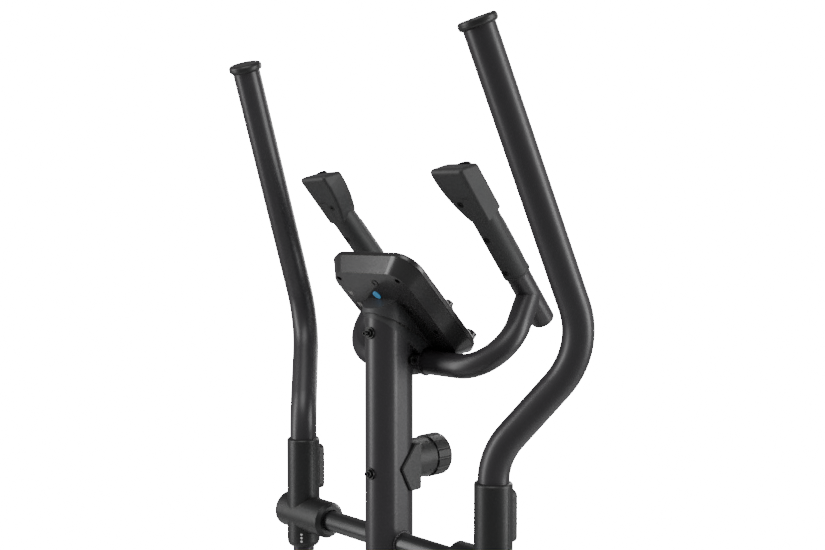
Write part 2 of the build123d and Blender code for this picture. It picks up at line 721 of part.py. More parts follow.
def pedal(side):
    """A foot tray with a rim that is open at the back."""
    x, w = side * PEDAL_X, PEDAL_W / 2
    low, high = PEDAL_START, PEDAL_START + PEDAL_LENGTH
    floor = RAIL_H / 2
    tray = block((x - w, x + w), (low, high), (floor, floor + PEDAL_FLOOR + PEDAL_RIM_H))
    tray = fillet(tray.edges().filter_by(Axis.Z).group_by(Axis.Y)[0], 30)
    tray = fillet(tray.edges().group_by(Axis.Z)[0], 3)
    inner = w - PEDAL_RIM_T
    well = block((x - inner, x + inner), (low + PEDAL_RIM_T, high), (floor + PEDAL_FLOOR, 200))
    well = fillet(well.edges().filter_by(Axis.Z).group_by(Axis.Y)[0], 26)
    tray -= well
    back_top = floor + PEDAL_FLOOR + PEDAL_RIM_H - PEDAL_RIM_DROP
    slope = Pos(x, high, back_top) * Rot(X=-PEDAL_RIM_SLOPE)
    above = Box(PEDAL_W + 20, PEDAL_LENGTH + 20, PEDAL_RIM_H, align=RIM_CUT_ALIGN)
    return on_rail(side, tray - slope * above)


def pedal_pad(side):
    """The ribbed rubber mat in the tray."""
    x = side * PEDAL_X
    w = PEDAL_W / 2 - PEDAL_RIM_T - 2
    low, high = PEDAL_START + PEDAL_RIM_T + 3, PEDAL_START + PEDAL_LENGTH - 4
    z = RAIL_H / 2 + PEDAL_FLOOR
    mat = block((x - w, x + w), (low, high), (z, z + PAD_T))
    mat = fillet(mat.edges().filter_by(Axis.Z).group_by(Axis.Y)[0], 24)
    for step in range(PAD_GROOVES):
        y = low + 36 + step * (high - low - 60) / (PAD_GROOVES - 1)
        mat -= block((x - w + 10, x + w - 10), (y - 3, y + 3), (z + PAD_T - 2, z + PAD_T))
    return on_rail(side, mat)


# ---------------------------------------------------------------- swing arms and handles


def pivot_axle():
    """The bar through the mast that both arms swing on."""
    half = ARM_X + SLEEVE_OUTER_END - 3
    axle = x_rod(AXLE_D / 2, -half, half, MAST_Y, PIVOT_HEIGHT)
    return chamfer(axle.edges().group_by(Axis.X)[-1] + axle.edges().group_by(Axis.X)[0], 1.5)


def swing_arm(side):
    """Hub sleeve, spigot for the handle, lower tube and its foot housing."""
    x = side * ARM_X
    inner, outer = side * (ARM_X - SLEEVE_INNER_END), side * (ARM_X + SLEEVE_OUTER_END)
    drop = PIVOT_HEIGHT - JOINT_Z
    spigot_r = HANDLE_D / 2 - HANDLE_WALL - SLIP
    arm = x_rod(SLEEVE_D / 2, inner, outer, MAST_Y, PIVOT_HEIGHT)
    arm += rod(spigot_r, at(x, 0, 0), at(x, 0, HANDLE_LOW_BEND - 50))
    arm += rod(ARM_TUBE_D / 2, at(x, 0, -drop + 10), at(x, 0, 0))
    arm -= rod(spigot_r - 3, at(x, 0, SLEEVE_D / 2 + 4), at(x, 0, HANDLE_LOW_BEND))
    arm -= rod(ARM_TUBE_D / 2 - ARM_TUBE_WALL, at(x, 0, 30 - drop), at(x, 0, -SLEEVE_D / 2 - 4))
    arm -= x_rod(SLEEVE_D / 2 - SLEEVE_WALL, inner, outer, MAST_Y, PIVOT_HEIGHT)
    foot_in = side * (RAIL_X + HOUSING_L / 2 + SIDE_GAP)
    foot_out = side * (ARM_X + 20)
    arm += x_rod(HOUSING_D / 2, foot_in, foot_out, MAST_Y, JOINT_Z)
    return arm + x_rod(12, foot_out, foot_out + side * 6, MAST_Y, JOINT_Z)


def arm_bushes(side):
    """Two flanged plain bearings between the sleeve and the axle."""
    bushes = []
    ends = (ARM_X - SLEEVE_INNER_END, ARM_X + SLEEVE_OUTER_END - BUSH_LENGTH)
    for start in ends:
        x0, x1 = side * start, side * (start + BUSH_LENGTH)
        bush = x_rod(SLEEVE_D / 2 - SLEEVE_WALL, x0, x1, MAST_Y, PIVOT_HEIGHT)
        bushes.append(bush - x_rod(AXLE_D / 2 + RUNNING, x0, x1, MAST_Y, PIVOT_HEIGHT))
    return Compound(children=bushes)


def handle_points(side):
    """Foot, bends and top of a moving handle's centre line."""
    bend_x, bend_y, bend_z = HANDLE_HIGH_BEND
    top_x, top_y, top_z = HANDLE_TOP
    return [
        at(side * ARM_X, 0, HANDLE_FOOT),
        at(side * ARM_X, 0, HANDLE_LOW_BEND),
        at(side * (ARM_X + bend_x), bend_y, bend_z),
        at(side * (ARM_X + top_x), top_y, top_z),
    ]


def handle(side):
    """The bent tube that the hand holds."""
    tube = bent_tube(handle_points(side), HANDLE_D, HANDLE_WALL, HANDLE_BENDS)
    return tube - x_rod(SLEEVE_D / 2, 0, side * 300, MAST_Y, PIVOT_HEIGHT)


def handle_cap(side):
    """The mushroom cap in the top of the handle."""
    *_, below, top = handle_points(side)
    along = (top - below).normalized()
    rim = rod(CAP_RIM_D / 2, top, top + along * CAP_RIM_H)
    edges = rim.edges().filter_by(GeomType.CIRCLE)
    rim = fillet(edges, 4.5)
    return rim + rod(HANDLE_D / 2 - HANDLE_WALL, top - along * 25, top)


def hub_cover(side, facing):
    """Half of the plastic cover round the pivot; facing is -1 front, 1 user's side."""
    x = side * ARM_X
    inner, outer = side * (ARM_X - COVER_INNER_END), side * (ARM_X + COVER_OUTER_END)
    stem = rod(COVER_D / 2, at(x, 0, -COVER_BOTTOM), at(x, 0, COVER_TOP))
    stem = fillet(stem.edges().group_by(Axis.Z)[0], 10)
    stem = fillet(stem.edges().group_by(Axis.Z)[-1], 3.5)
    branch = x_rod(COVER_BRANCH_D / 2, inner, outer, MAST_Y, PIVOT_HEIGHT)
    rims = branch.edges().filter_by(GeomType.CIRCLE).sort_by(Axis.X)
    outer_rim = rims[-1] if side > 0 else rims[0]
    branch = fillet(outer_rim, 3)
    rims = branch.edges().filter_by(GeomType.CIRCLE).sort_by(Axis.X)
    branch = chamfer(rims[0] if side > 0 else rims[-1], 5)
    body = stem + branch
    if facing > 0:
        pad_x = (x - COVER_PAD_HALF, x + COVER_PAD_HALF)
        pad = block(pad_x, (MAST_Y, MAST_Y + COVER_D / 2 + COVER_PAD_PROUD), (0, COVER_PAD_H))
        body += Pos(0, 0, PIVOT_HEIGHT + COVER_PAD_H / 2) * fillet(pad.edges().filter_by(Axis.Y), 8)
    body -= rod(HANDLE_D / 2, at(x, 0, 0), at(x, 0, COVER_TOP))
    body -= rod(ARM_TUBE_D / 2, at(x, 0, -COVER_BOTTOM), at(x, 0, 0))
    sleeve_end = side * (ARM_X - SLEEVE_INNER_END)
    body -= x_rod(SLEEVE_D / 2, sleeve_end, outer - side * COVER_END_WALL, MAST_Y, PIVOT_HEIGHT)
    body -= x_rod(AXLE_D / 2 + 1, inner, side * ARM_X, MAST_Y, PIVOT_HEIGHT)
    low, high = (MAST_Y - 60, MAST_Y) if facing < 0 else (MAST_Y, MAST_Y + 60)
    return body & block((x - 120, x + 120), (low, high), (PIVOT_HEIGHT - 60, PIVOT_HEIGHT + 120))


# ---------------------------------------------------------------- mast head


def bolt(face, out, washer_r, nut_r, stub):
    """A washer, nut and socketed stub on the mast's wall, standing out along out."""
    washer = rod(washer_r, face - out * 5, face + out * 1.4)
    nut = rod(nut_r, face + out * 1.4, face + out * 5)
    nut = fillet(nut.edges().filter_by(GeomType.CIRCLE), 0.8)
    end = rod(BOLT_D / 2 - 1, face, face + out * stub) + rod(BOLT_D / 2, face - out * 6, face)
    socket = rod(BOLT_D / 4, face + out * (stub - 4), face + out * stub)
    return washer + nut + end - socket


def mast_bolts():
    """Two bolts in the mast's front and one in each flank."""
    bolts = []
    shell = mast_block(0, BEAM_TOP, PIVOT_HEIGHT + 400) - head_bolt_holes()
    for z, stub in zip(FRONT_BOLTS, (10, 7)):
        face = at(0, -MAST_DEPTH / 2, z)
        bolts.append(bolt(face, Vector(0, -1, 0), 8, 5.5, stub) - shell)
    bolt_y, bolt_z = SIDE_BOLT
    for side in SIDES.values():
        face = at(side * (MAST_WIDTH / 2 - 1), bolt_y, bolt_z)
        bolts.append(bolt(face, Vector(side, 0, 0), 7.5, 5.5, 6) - shell)
    return Compound(children=bolts)


def console_plane(offset=0.0):
    """The console's back plane; local +Y runs down its slope, +Z towards the user."""
    normal = Vector(0, 1, 1).normalized()
    return Plane(at(*CONSOLE_ORIGIN) + normal * offset, x_dir=(1, 0, 0), z_dir=normal)


def neck_block(extra):
    """The mast's rounded front carried up and back as a prism, grown by extra."""
    depth = MAST_DEPTH + 80
    section = obround(MAST_WIDTH + 2 * extra, depth + 2 * extra)
    return Pos(0, MAST_Y + 40, PIVOT_HEIGHT + 100) * extrude(section, 300)


def console_bracket():
    """The plastic neck between the mast's slanting top and the console."""
    normal_sum = CONSOLE_ORIGIN[1] + CONSOLE_ORIGIN[2]
    front = -MAST_DEPTH / 2
    tip = MAST_FRONT_TOP - MAST_DEPTH * tan(radians(MAST_TOP_SLOPE))
    outline = [
        (front - 4, MAST_FRONT_TOP + 4 * tan(radians(MAST_TOP_SLOPE))),
        (front - 4, MAST_FRONT_TOP + 12),
        (-12, normal_sum + 12),
        (52, normal_sum - 52),
        (39, normal_sum - 55),
        (-front, tip),
    ]
    neck = side_profile(outline, -30, 30) & neck_block(-0.5)
    shelf = [(front - 4, MAST_FRONT_TOP + 8), *outline[1:4], (30, normal_sum - 34)]
    neck += side_profile(shelf, -30, 30) & neck_block(NECK_WIDER)
    spigot = mast_block(-MAST_WALL - SLIP, PIVOT_HEIGHT + 150, PIVOT_HEIGHT + MAST_FRONT_TOP)
    spigot = split(spigot, bisect_by=mast_top_plane(), keep=Keep.BOTTOM)
    spigot = split(spigot, bisect_by=mast_top_plane(SPIGOT_DEPTH), keep=Keep.TOP)
    return neck + spigot


def console_slab(margin, z0, z1):
    """A straight-sided slab of the console's outline, margin in from its edge."""
    outline = RectangleRounded(
        2 * (CONSOLE_HALF_W - margin), 2 * (CONSOLE_HALF_L - margin), CONSOLE_CORNER_R - margin
    )
    return extrude(console_plane(z0) * outline, z1 - z0)


def console_taper(inset, z0):
    """The flared tub behind the console's front, drawn in by inset, from z0 forwards."""
    height = CONSOLE_BACK_T - z0
    back = CONSOLE_FLARE * height / CONSOLE_BACK_T
    sections = []
    for z, margin in ((z0, back + inset), (CONSOLE_BACK_T, inset)):
        size = (2 * (CONSOLE_HALF_W - margin), 2 * (CONSOLE_HALF_L - margin))
        outline = RectangleRounded(*size, CONSOLE_CORNER_R - margin / 2)
        sections.append(console_plane(z) * outline)
    return loft(sections)


def console_back():
    """The tub behind the display, with its screw holes, door and plug recess."""
    tub = console_taper(0, 0) - console_taper(CONSOLE_WALL, CONSOLE_WALL)
    plane = console_plane()
    for x, y in CONSOLE_HOLES:
        tub += extrude(plane * Pos(x, y) * Circle(BOSS_R), CONSOLE_BACK_T)
        tub -= extrude(plane * Pos(x, y) * Circle(BOSS_HOLE_R), CONSOLE_BACK_T - 4)
    x, y, width, length = DOOR
    tub -= extrude(plane * Pos(x, y) * RectangleRounded(width, length, DOOR_CORNER_R), DOOR_T)
    x, y, radius = PLUG
    tub -= extrude(plane * Pos(x, y) * Circle(radius), CONSOLE_WALL)
    for x, y in VENTS:
        tub -= extrude(plane * Pos(x, y) * RectangleRounded(*VENT_SIZE, 1), CONSOLE_WALL)
    return tub


def battery_door():
    """The flush door over the batteries."""
    x, y, width, length = DOOR
    size = (width - 2 * SHELL_GAP, length - 2 * SHELL_GAP)
    panel = RectangleRounded(*size, DOOR_CORNER_R - SHELL_GAP)
    return extrude(console_plane() * Pos(x, y) * panel, DOOR_T)


def console_plug():
    """The round coloured plug in the console's back."""
    x, y, radius = PLUG
    return extrude(console_plane(-1) * Pos(x, y) * Circle(radius), CONSOLE_WALL + 1)


def console_front():
    """The face of the console, with its screen recess and phone ledge."""
    face = console_slab(0, CONSOLE_BACK_T, CONSOLE_BACK_T + CONSOLE_FRONT_T)
    top = console_plane(CONSOLE_BACK_T + CONSOLE_FRONT_T)
    rim = [e for e in face.edges() if abs(top.to_local_coords(e.center()).Z) < 0.01]
    face = fillet(rim, 4)
    x, y, width, length = SCREEN
    face -= extrude(top * Pos(x, y) * RectangleRounded(width, length, 4), -SCREEN_DEPTH)
    ledge_place = top * Pos(0, CONSOLE_HALF_L - LEDGE_SETBACK)
    ledge = extrude(ledge_place * SlotOverall(LEDGE_W, LEDGE_T), LEDGE_H)
    slot = top * Pos(0, CONSOLE_HALF_L - LEDGE_SETBACK - 5, 6) * Box(LEDGE_W - 24, 8, LEDGE_H)
    face += ledge - slot
    face -= extrude(top * Pos(*BUTTON) * Circle(BUTTON_D / 2 + BUTTON_GAP), -BUTTON_DEPTH)
    return face


def console_button():
    """The round mode button."""
    height = BUTTON_DEPTH - BUTTON_STROKE - BUTTON_FLOOR_GAP + BUTTON_PROUD
    top = console_plane(CONSOLE_BACK_T + CONSOLE_FRONT_T + BUTTON_PROUD - height)
    cap = extrude(top * Pos(*BUTTON) * Circle(BUTTON_D / 2), height)
    rim = [e for e in cap.edges() if top.to_local_coords(e.center()).Z > height - 0.1]
    return fillet(rim, 1)


def console_lens():
    """The clear window over the display."""
    x, y, width, length = SCREEN
    window = RectangleRounded(width - 2 * SLIP, length - 2 * SLIP, 4 - SLIP)
    seat = console_plane(CONSOLE_BACK_T + CONSOLE_FRONT_T - SCREEN_DEPTH)
    return extrude(seat * Pos(x, y) * window, LENS_T)


def tension_base():
    """The knob's fixed base, with ears that clasp the mast's flanks."""
    outline = [(y, KNOB_Z + z) for y, z in EAR_OUTLINE]
    half = MAST_WIDTH / 2 + 4
    ears = side_profile(outline, -half, half)
    ears = fillet(ears.edges().filter_by(Axis.X), 4)
    flanks = ears.faces().sort_by(Axis.X)
    ears = chamfer(flanks[0].edges() + flanks[-1].edges(), 1.5)
    drum = rod(KNOB_BASE_D / 2, at(0, 20, KNOB_Z), at(0, KNOB_BASE_END, KNOB_Z))
    base = ears + drum - mast_block(0, PIVOT_HEIGHT, PIVOT_HEIGHT + 250)
    return base - rod(SPINDLE_R + RUNNING, at(0, 0, KNOB_Z), at(0, KNOB_BASE_END, KNOB_Z))


def tension_knob():
    """The ribbed knob and its spindle."""
    start = KNOB_BASE_END + KNOB_GAP
    end = start + KNOB_L
    body = rod(KNOB_D / 2, at(0, start, KNOB_Z), at(0, end, KNOB_Z))
    body = chamfer(body.edges().filter_by(GeomType.CIRCLE).group_by(Axis.Y)[-1], 2)
    for step in range(KNOB_RIBS):
        angle = radians(360 / KNOB_RIBS * step)
        reach = KNOB_D / 2 + KNOB_FLUTE_R / 2
        x, z = reach * cos(angle), reach * sin(angle)
        body -= rod(KNOB_FLUTE_R, at(x, start, KNOB_Z + z), at(x, end, KNOB_Z + z))
    return body + rod(SPINDLE_R, at(0, MAST_DEPTH / 2 + 6, KNOB_Z), at(0, start, KNOB_Z))


# ---------------------------------------------------------------- fixed handlebar


def grip_plane(side, distance=0.0):
    """A plane across a grip tube; local +X points left and +Y at the user."""
    bottom = at(side * GRIP_BOTTOM[0], *GRIP_BOTTOM[1:])
    top = at(side * GRIP_TOP[0], *GRIP_TOP[1:])
    along = (top - bottom).normalized()
    leftward = Vector(1, 0, 0)
    leftward = (leftward - along * leftward.dot(along)).normalized()
    return Plane(bottom + along * distance, x_dir=leftward, z_dir=along)


def grip_length():
    """The length of a grip tube."""
    return (Vector(*GRIP_TOP) - Vector(*GRIP_BOTTOM)).length


def bar_points():
    """The centre line of the handlebar's U."""
    lean, dy, dz = BAR_LEG
    return [
        at(-BAR_HALF - lean, BAR_Y + dy, BAR_Z + dz),
        at(-BAR_HALF, BAR_Y, BAR_Z),
        at(BAR_HALF, BAR_Y, BAR_Z),
        at(BAR_HALF + lean, BAR_Y + dy, BAR_Z + dz),
    ]


def fixed_handlebar():
    """The U tube, the two grip tubes and the saddle on the mast, all welded."""
    bar = bent_bar(bar_points(), BAR_D / 2, BAR_BENDS)
    bore = bent_bar(bar_points(), BAR_D / 2 - BAR_WALL, BAR_BENDS)
    for side in SIDES.values():
        plane = grip_plane(side)
        bar += extrude(plane * Circle(BAR_D / 2), grip_length())
        bore += extrude(plane * Circle(BAR_D / 2 - BAR_WALL), grip_length())
    saddle_y = (MAST_Y + MAST_DEPTH / 2 - 12, MAST_Y + BAR_Y)
    seat = block((-19, 19), saddle_y, (PIVOT_HEIGHT + BAR_Z - 15, PIVOT_HEIGHT + BAR_Z + 11))
    return bar + (seat - mast_block(0, PIVOT_HEIGHT, PIVOT_HEIGHT + 300)) - bore


def handlebar_plugs():
    """Rounded plugs in the lower ends of the grip tubes."""
    plugs = []
    for side in SIDES.values():
        plane = grip_plane(side)
        rim = extrude(plane * Circle(BAR_D / 2), -5)
        rim = fillet(rim.edges().filter_by(GeomType.CIRCLE).sort_by(Axis.Z)[:1], 3.5)
        plugs.append(rim + extrude(plane * Circle(BAR_D / 2 - BAR_WALL), 15))
    return Compound(children=plugs)


def grip_head(side):
    """The head: a leaf-shaped slab that widens inwards, with a slanting crown."""
    end = grip_length() + GRIP_OVERHANG
    across, low = -side, end - HEAD_LENGTH
    corner = (across * HEAD_REACH, end - 12)
    edges = [
        Line((-across * GRIP_R, low), (-across * GRIP_R, end + 20)),
        Line((-across * GRIP_R, end + 20), (across * HEAD_REACH, end + 20)),
        Line((across * HEAD_REACH, end + 20), corner),
        ThreePointArc(corner, (across * (HEAD_REACH - 6), end - 42), (across * GRIP_R * 0.8, low)),
        Line((across * GRIP_R * 0.8, low), (-across * GRIP_R, low)),
    ]
    base = grip_plane(side)
    lying = Plane(base.origin - base.y_dir * HEAD_HALF_T, x_dir=base.x_dir, z_dir=-base.y_dir)
    slab = extrude(lying * make_face(edges), -2 * HEAD_HALF_T)
    crown = grip_plane(side, end)
    tilt = radians(HEAD_TOP_TILT)
    normal = crown.z_dir * cos(tilt) + crown.y_dir * sin(tilt)
    slab = split(slab, bisect_by=Plane(crown.origin, z_dir=normal), keep=Keep.BOTTOM)
    foot = Axis(base.origin, base.z_dir)
    return fillet(slab.edges() - slab.faces().sort_by(foot)[0].edges(), HEAD_ROUND)


def grip_body(side):
    """The full moulded grip: a round barrel and its head, bored for the tube."""
    end = grip_length() + GRIP_OVERHANG - HEAD_LENGTH / 2
    barrel = extrude(grip_plane(side, GRIP_START) * Circle(GRIP_R), end - GRIP_START)
    tube = extrude(grip_plane(side) * Circle(BAR_D / 2), grip_length())
    return barrel + grip_head(side) - tube


def half_of_grip(side, facing):
    """One shell of a grip; facing is -1 for the front of the machine, 1 for the user."""
    middle = grip_plane(side, grip_length() / 2)
    slab = middle * Pos(0, facing * 50, 0) * Box(200, 100, 2 * grip_length())
    return grip_body(side) & slab


def grip_shells(facing):
    """The shells on one face of both grips."""
    shells = []
    for side in SIDES.values():
        shell = half_of_grip(side, facing)
        if facing < 0:
            for x, distance in GRIP_SCREWS:
                hole = Circle(SCREW_HOLE_R)
                shell -= extrude(screw_plane(side, x, distance) * hole, SCREW_HOLE_DEPTH)
        shells.append(shell)
    return Compound(children=shells)


def screw_plane(side, x, distance):
    """A plane just under a screw's seat on the back of a grip, facing out."""
    frame = grip_plane(side, distance)
    depth = HEAD_HALF_T if x else GRIP_R
    origin = frame.origin - frame.x_dir * side * x - frame.y_dir * (depth - 1)
    return Plane(origin, x_dir=frame.x_dir, z_dir=-frame.y_dir)


def grip_screws():
    """Socket-head screws in the backs of the grips."""
    screws = []
    for side in SIDES.values():
        for x, distance in GRIP_SCREWS:
            plane = screw_plane(side, x, distance)
            head = extrude(plane * Circle(SCREW_HOLE_R), SCREW_HEAD_H)
            screws.append(head - extrude(plane * RegularPolygon(2, 6), SCREW_HEAD_H))
    return Compound(children=screws)


def pulse_plates():
    """Curved metal contact plates on the user's side of the grips."""
    plates = []
    for side in SIDES.values():
        ring = Circle(GRIP_R + PULSE_T) - Circle(GRIP_R)
        wedge = make_face(Polyline((0, 0), (-36, 60), (36, 60), close=True))
        plates.append(extrude(grip_plane(side, PULSE_START) * (ring & wedge), PULSE_LENGTH))
    return Compound(children=plates)


def build():
    """Every piece, by name."""
    parts = {
        "main_frame": main_frame(),
        "mast": mast(),
        "mast_collar": mast_collar(),
        "front_stabiliser": stabiliser(-STAB_Y),
        "rear_stabiliser": stabiliser(STAB_Y),
        "front_feet": front_feet(),
        "rear_feet": rear_feet(),
        "levelling_feet": levelling_feet(),
        "frame_bolts": frame_bolts(),
        "shroud_screws": shroud_screws(),
        "pivot_axle": pivot_axle(),
        "crank_bearings": crank_bearings(),
        "drive_belt": drive_belt(),
        "tension_cable": tension_cable(),
        "tension_base": tension_base(),
        "mast_bolts": mast_bolts(),
        "console_bracket": console_bracket(),
        "console_back": console_back(),
        "console_front": console_front(),
        "console_lens": console_lens(),
        "battery_door": battery_door(),
        "console_plug": console_plug(),
        "fixed_handlebar": fixed_handlebar(),
        "grip_shells_front": grip_shells(-1),
        "grip_shells_user": grip_shells(1),
        "pulse_plates": pulse_plates(),
        "grip_screws": grip_screws(),
        "handlebar_plugs": handlebar_plugs(),
        "crank_axle": crank_axle(),
        "drive_pulley": drive_pulley(),
        "crank_nuts": crank_nuts(),
        "flywheel": flywheel(),
        "flywheel_axle": flywheel_axle(),
        "magnet_arm": magnet_arm(),
        "tension_knob": tension_knob(),
        "console_button": console_button(),
    }
    for name, side in SIDES.items():
        parts[f"shroud_{name}"] = shroud(side)
        parts[f"crank_arm_{name}"] = crank_arm(side)
        parts[f"pedal_rail_{name}"] = pedal_rail(side)
        parts[f"pedal_{name}"] = pedal(side)
        parts[f"pedal_pad_{name}"] = pedal_pad(side)
        parts[f"swing_arm_{name}"] = swing_arm(side)
        parts[f"arm_bushes_{name}"] = arm_bushes(side)
        parts[f"handle_{name}"] = handle(side)
        parts[f"handle_cap_{name}"] = handle_cap(side)
        parts[f"hub_cover_front_{name}"] = hub_cover(side, -1)
        parts[f"hub_cover_user_{name}"] = hub_cover(side, 1)
        parts[f"transport_wheel_{name}"] = transport_wheel(side)
    return parts


os.makedirs("parts", exist_ok=True)
for node, shape in build().items():
    export_step(shape, f"parts/{node}.step")
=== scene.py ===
import logging
import math
from dataclasses import dataclass, field
from enum import Enum
from typing import Any, Callable

import bpy
from mathutils import Matrix, Vector


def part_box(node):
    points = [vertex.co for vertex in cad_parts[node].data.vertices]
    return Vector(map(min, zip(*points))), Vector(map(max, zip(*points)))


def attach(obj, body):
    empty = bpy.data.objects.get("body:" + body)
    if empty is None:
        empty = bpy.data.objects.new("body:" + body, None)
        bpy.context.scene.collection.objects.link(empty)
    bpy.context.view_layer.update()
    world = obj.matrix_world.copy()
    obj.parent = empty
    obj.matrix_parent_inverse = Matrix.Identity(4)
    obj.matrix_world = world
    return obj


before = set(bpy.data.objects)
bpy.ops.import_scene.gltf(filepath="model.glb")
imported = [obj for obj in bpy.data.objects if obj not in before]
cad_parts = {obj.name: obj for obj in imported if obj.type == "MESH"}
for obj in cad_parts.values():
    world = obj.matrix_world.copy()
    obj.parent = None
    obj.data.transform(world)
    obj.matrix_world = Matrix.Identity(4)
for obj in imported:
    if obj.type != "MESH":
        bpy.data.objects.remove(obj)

LOG = logging.getLogger("elliptical_trainer")
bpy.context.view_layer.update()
# The swing axle's radius, in metres.
AXLE_R = 0.014
AXLE = Vector((0.0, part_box("pivot_axle")[0].y + AXLE_R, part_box("pivot_axle")[0].z + AXLE_R))
# An arm's middle, and how deep a piece of trim is sunk into its surface, in millimetres.
ARM_X = 180.0
SINK = 0.2
# A normal over FACING points along +Z, and a point past RIM_SHARE of the radius is on the rim.
FACING = 0.9
RIM_SHARE = 0.97


class Side(Enum):
    """The user's left or right."""

    LEFT = 1
    RIGHT = -1

    @property
    def word(self) -> str:
        """The side's name as node and body names spell it."""
        return self.name.lower()


class Pick(Enum):
    """What an edit-mode step works on."""

    VERT = "VERT"
    EDGE = "EDGE"
    FACE = "FACE"


# ---------------------------------------------------------------- shader tools


@dataclass(frozen=True)
class Socket:
    """A node's output that can be used in Python sums."""

    tree: bpy.types.NodeTree
    out: Any

    def _join(self, operation: str, first: Any, second: Any) -> "Socket":
        """Adds one Math node.

        Args:
            operation: The Math node's operation.
            first: The left value or socket.
            second: The right value or socket.

        Returns:
            The result as a socket.
        """
        return add_node(self.tree, "ShaderNodeMath", {"operation": operation}, {0: first, 1: second})

    def __add__(self, other: Any) -> "Socket":
        """Sum."""
        return self._join("ADD", self, other)

    __radd__ = __add__

    def __sub__(self, other: Any) -> "Socket":
        """Difference."""
        return self._join("SUBTRACT", self, other)

    def __mul__(self, other: Any) -> "Socket":
        """Product."""
        return self._join("MULTIPLY", self, other)

    __rmul__ = __mul__

    def above(self, other: Any) -> "Socket":
        """One where this is over the other, else nought."""
        return self._join("GREATER_THAN", self, other)


def add_node(
    tree: bpy.types.NodeTree, kind: str, settings: dict[str, Any], inputs: dict[Any, Any], output: Any = 0
) -> Socket:
    """Adds any node.

    Args:
        tree: The material's node tree.
        kind: The node's type.
        settings: Properties, set before the inputs; "stops" fills a colour ramp.
        inputs: Values or sockets for the node's inputs.
        output: Which output to hand back.

    Returns:
        The chosen output.
    """
    node = tree.nodes.new(kind)
    for name, value in settings.items():
        if name == "stops":
            ramp = node.color_ramp.elements
            while len(ramp) < len(value):
                ramp.new(0.5)
            for stop, (place, colour) in zip(ramp, value):
                stop.position = place
                stop.color = (*colour, 1.0)
        else:
            setattr(node, name, value)
    for name, value in inputs.items():
        if isinstance(value, Socket):
            tree.links.new(value.out, node.inputs[name])
        else:
            node.inputs[name].default_value = value
    return Socket(tree, node.outputs[output] if node.outputs else None)


@dataclass(frozen=True)
class Finish:
    """A surface: base colour with slow variation, fine grain, smudges and a clear coat."""

    name: str
    colour: tuple[float, float, float]
    roughness: float
    metallic: float = 0.0
    grain: float = 900.0
    bump: float = 0.12
    uneven: float = 0.10
    smudge: float = 0.06
    specular: float = 0.5
    coat: float = 0.0
    coat_roughness: float = 0.25
    stretch: tuple[float, float, float] = (1.0, 1.0, 1.0)
    dust: float = 0.0

    def coordinates(self, tree: bpy.types.NodeTree) -> Socket:
        """The piece's own object coordinates, drawn out along a brushing direction."""
        place = add_node(tree, "ShaderNodeTexCoord", {}, {}, "Object")
        return add_node(tree, "ShaderNodeMapping", {}, {"Vector": place, "Scale": self.stretch})

    def noise(self, tree: bpy.types.NodeTree, where: Socket, scale: float, detail: float) -> Socket:
        """A noise pattern.

        Args:
            tree: The material's node tree.
            where: The coordinates.
            scale: Grains per metre.
            detail: Octaves.

        Returns:
            The pattern, about nought to one.
        """
        return add_node(
            tree, "ShaderNodeTexNoise", {}, {"Vector": where, "Scale": scale, "Detail": detail}, "Fac"
        )

    def mix(self, tree: bpy.types.NodeTree, factor: Any, low: Any, high: Any) -> Socket:
        """Blends two colours."""
        return add_node(
            tree, "ShaderNodeMix", {"data_type": "RGBA"}, {0: factor, 6: low, 7: high}, 2
        )

    def paint(self, tree: bpy.types.NodeTree, where: Socket) -> Socket:
        """The colour over the surface: slow unevenness and a little dust in patches."""
        slow = self.noise(tree, where, 9.0, 3.0)
        fine = self.noise(tree, where, self.grain * 0.6, 2.0)
        dark = tuple(c * (1 - self.uneven) for c in self.colour)
        light = tuple(min(1.0, c * (1 + self.uneven)) for c in self.colour)
        body = self.mix(tree, slow * 0.7 + fine * 0.3, (*dark, 1.0), (*light, 1.0))
        if not self.dust:
            return body
        patches = self.noise(tree, where, 26.0, 6.0).above(0.62) * self.dust
        return self.mix(tree, patches, body, (0.35, 0.34, 0.33, 1.0))

    def relief(self, tree: bpy.types.NodeTree, where: Socket) -> Socket:
        """The surface's height."""
        return self.noise(tree, where, self.grain, 2.0)

    def surface(self, tree: bpy.types.NodeTree) -> dict[Any, Any]:
        """The shader's inputs for this finish."""
        where = self.coordinates(tree)
        smears = self.noise(tree, where, 34.0, 5.0)
        rough = (smears - 0.5) * (self.smudge * 2) + self.roughness
        normal = add_node(
            tree,
            "ShaderNodeBump",
            {},
            {"Strength": self.bump, "Distance": 0.0004, "Height": self.relief(tree, where)},
        )
        return {
            "Base Color": self.paint(tree, where),
            "Roughness": rough,
            "Metallic": self.metallic,
            "Specular IOR Level": self.specular,
            "Coat Weight": self.coat,
            "Coat Roughness": self.coat_roughness,
            "Normal": normal,
        }

    def material(self) -> bpy.types.Material:
        """Builds the material once and hands it back each later time."""
        ready = bpy.data.materials.get(self.name)
        if ready:
            return ready
        made = bpy.data.materials.new(self.name)
        made.use_nodes = True
        tree = made.node_tree
        shader = next(n for n in tree.nodes if n.type == "BSDF_PRINCIPLED")
        for name, value in self.surface(tree).items():
            if isinstance(value, Socket):
                tree.links.new(value.out, shader.inputs[name])
            else:
                shader.inputs[name].default_value = value
        made.diffuse_color = (*self.colour, 1.0)
        return made


@dataclass(frozen=True)
class PowderCoat(Finish):
    """Satin powder paint: orange-peel ripple under fine grain."""

    ripple: float = 260.0

    def relief(self, tree: bpy.types.NodeTree, where: Socket) -> Socket:
        """Soft ripple with fine grain on it."""
        ripple = self.noise(tree, where, self.ripple, 2.0) * 0.7
        return ripple + self.noise(tree, where, self.grain, 2.0) * 0.3


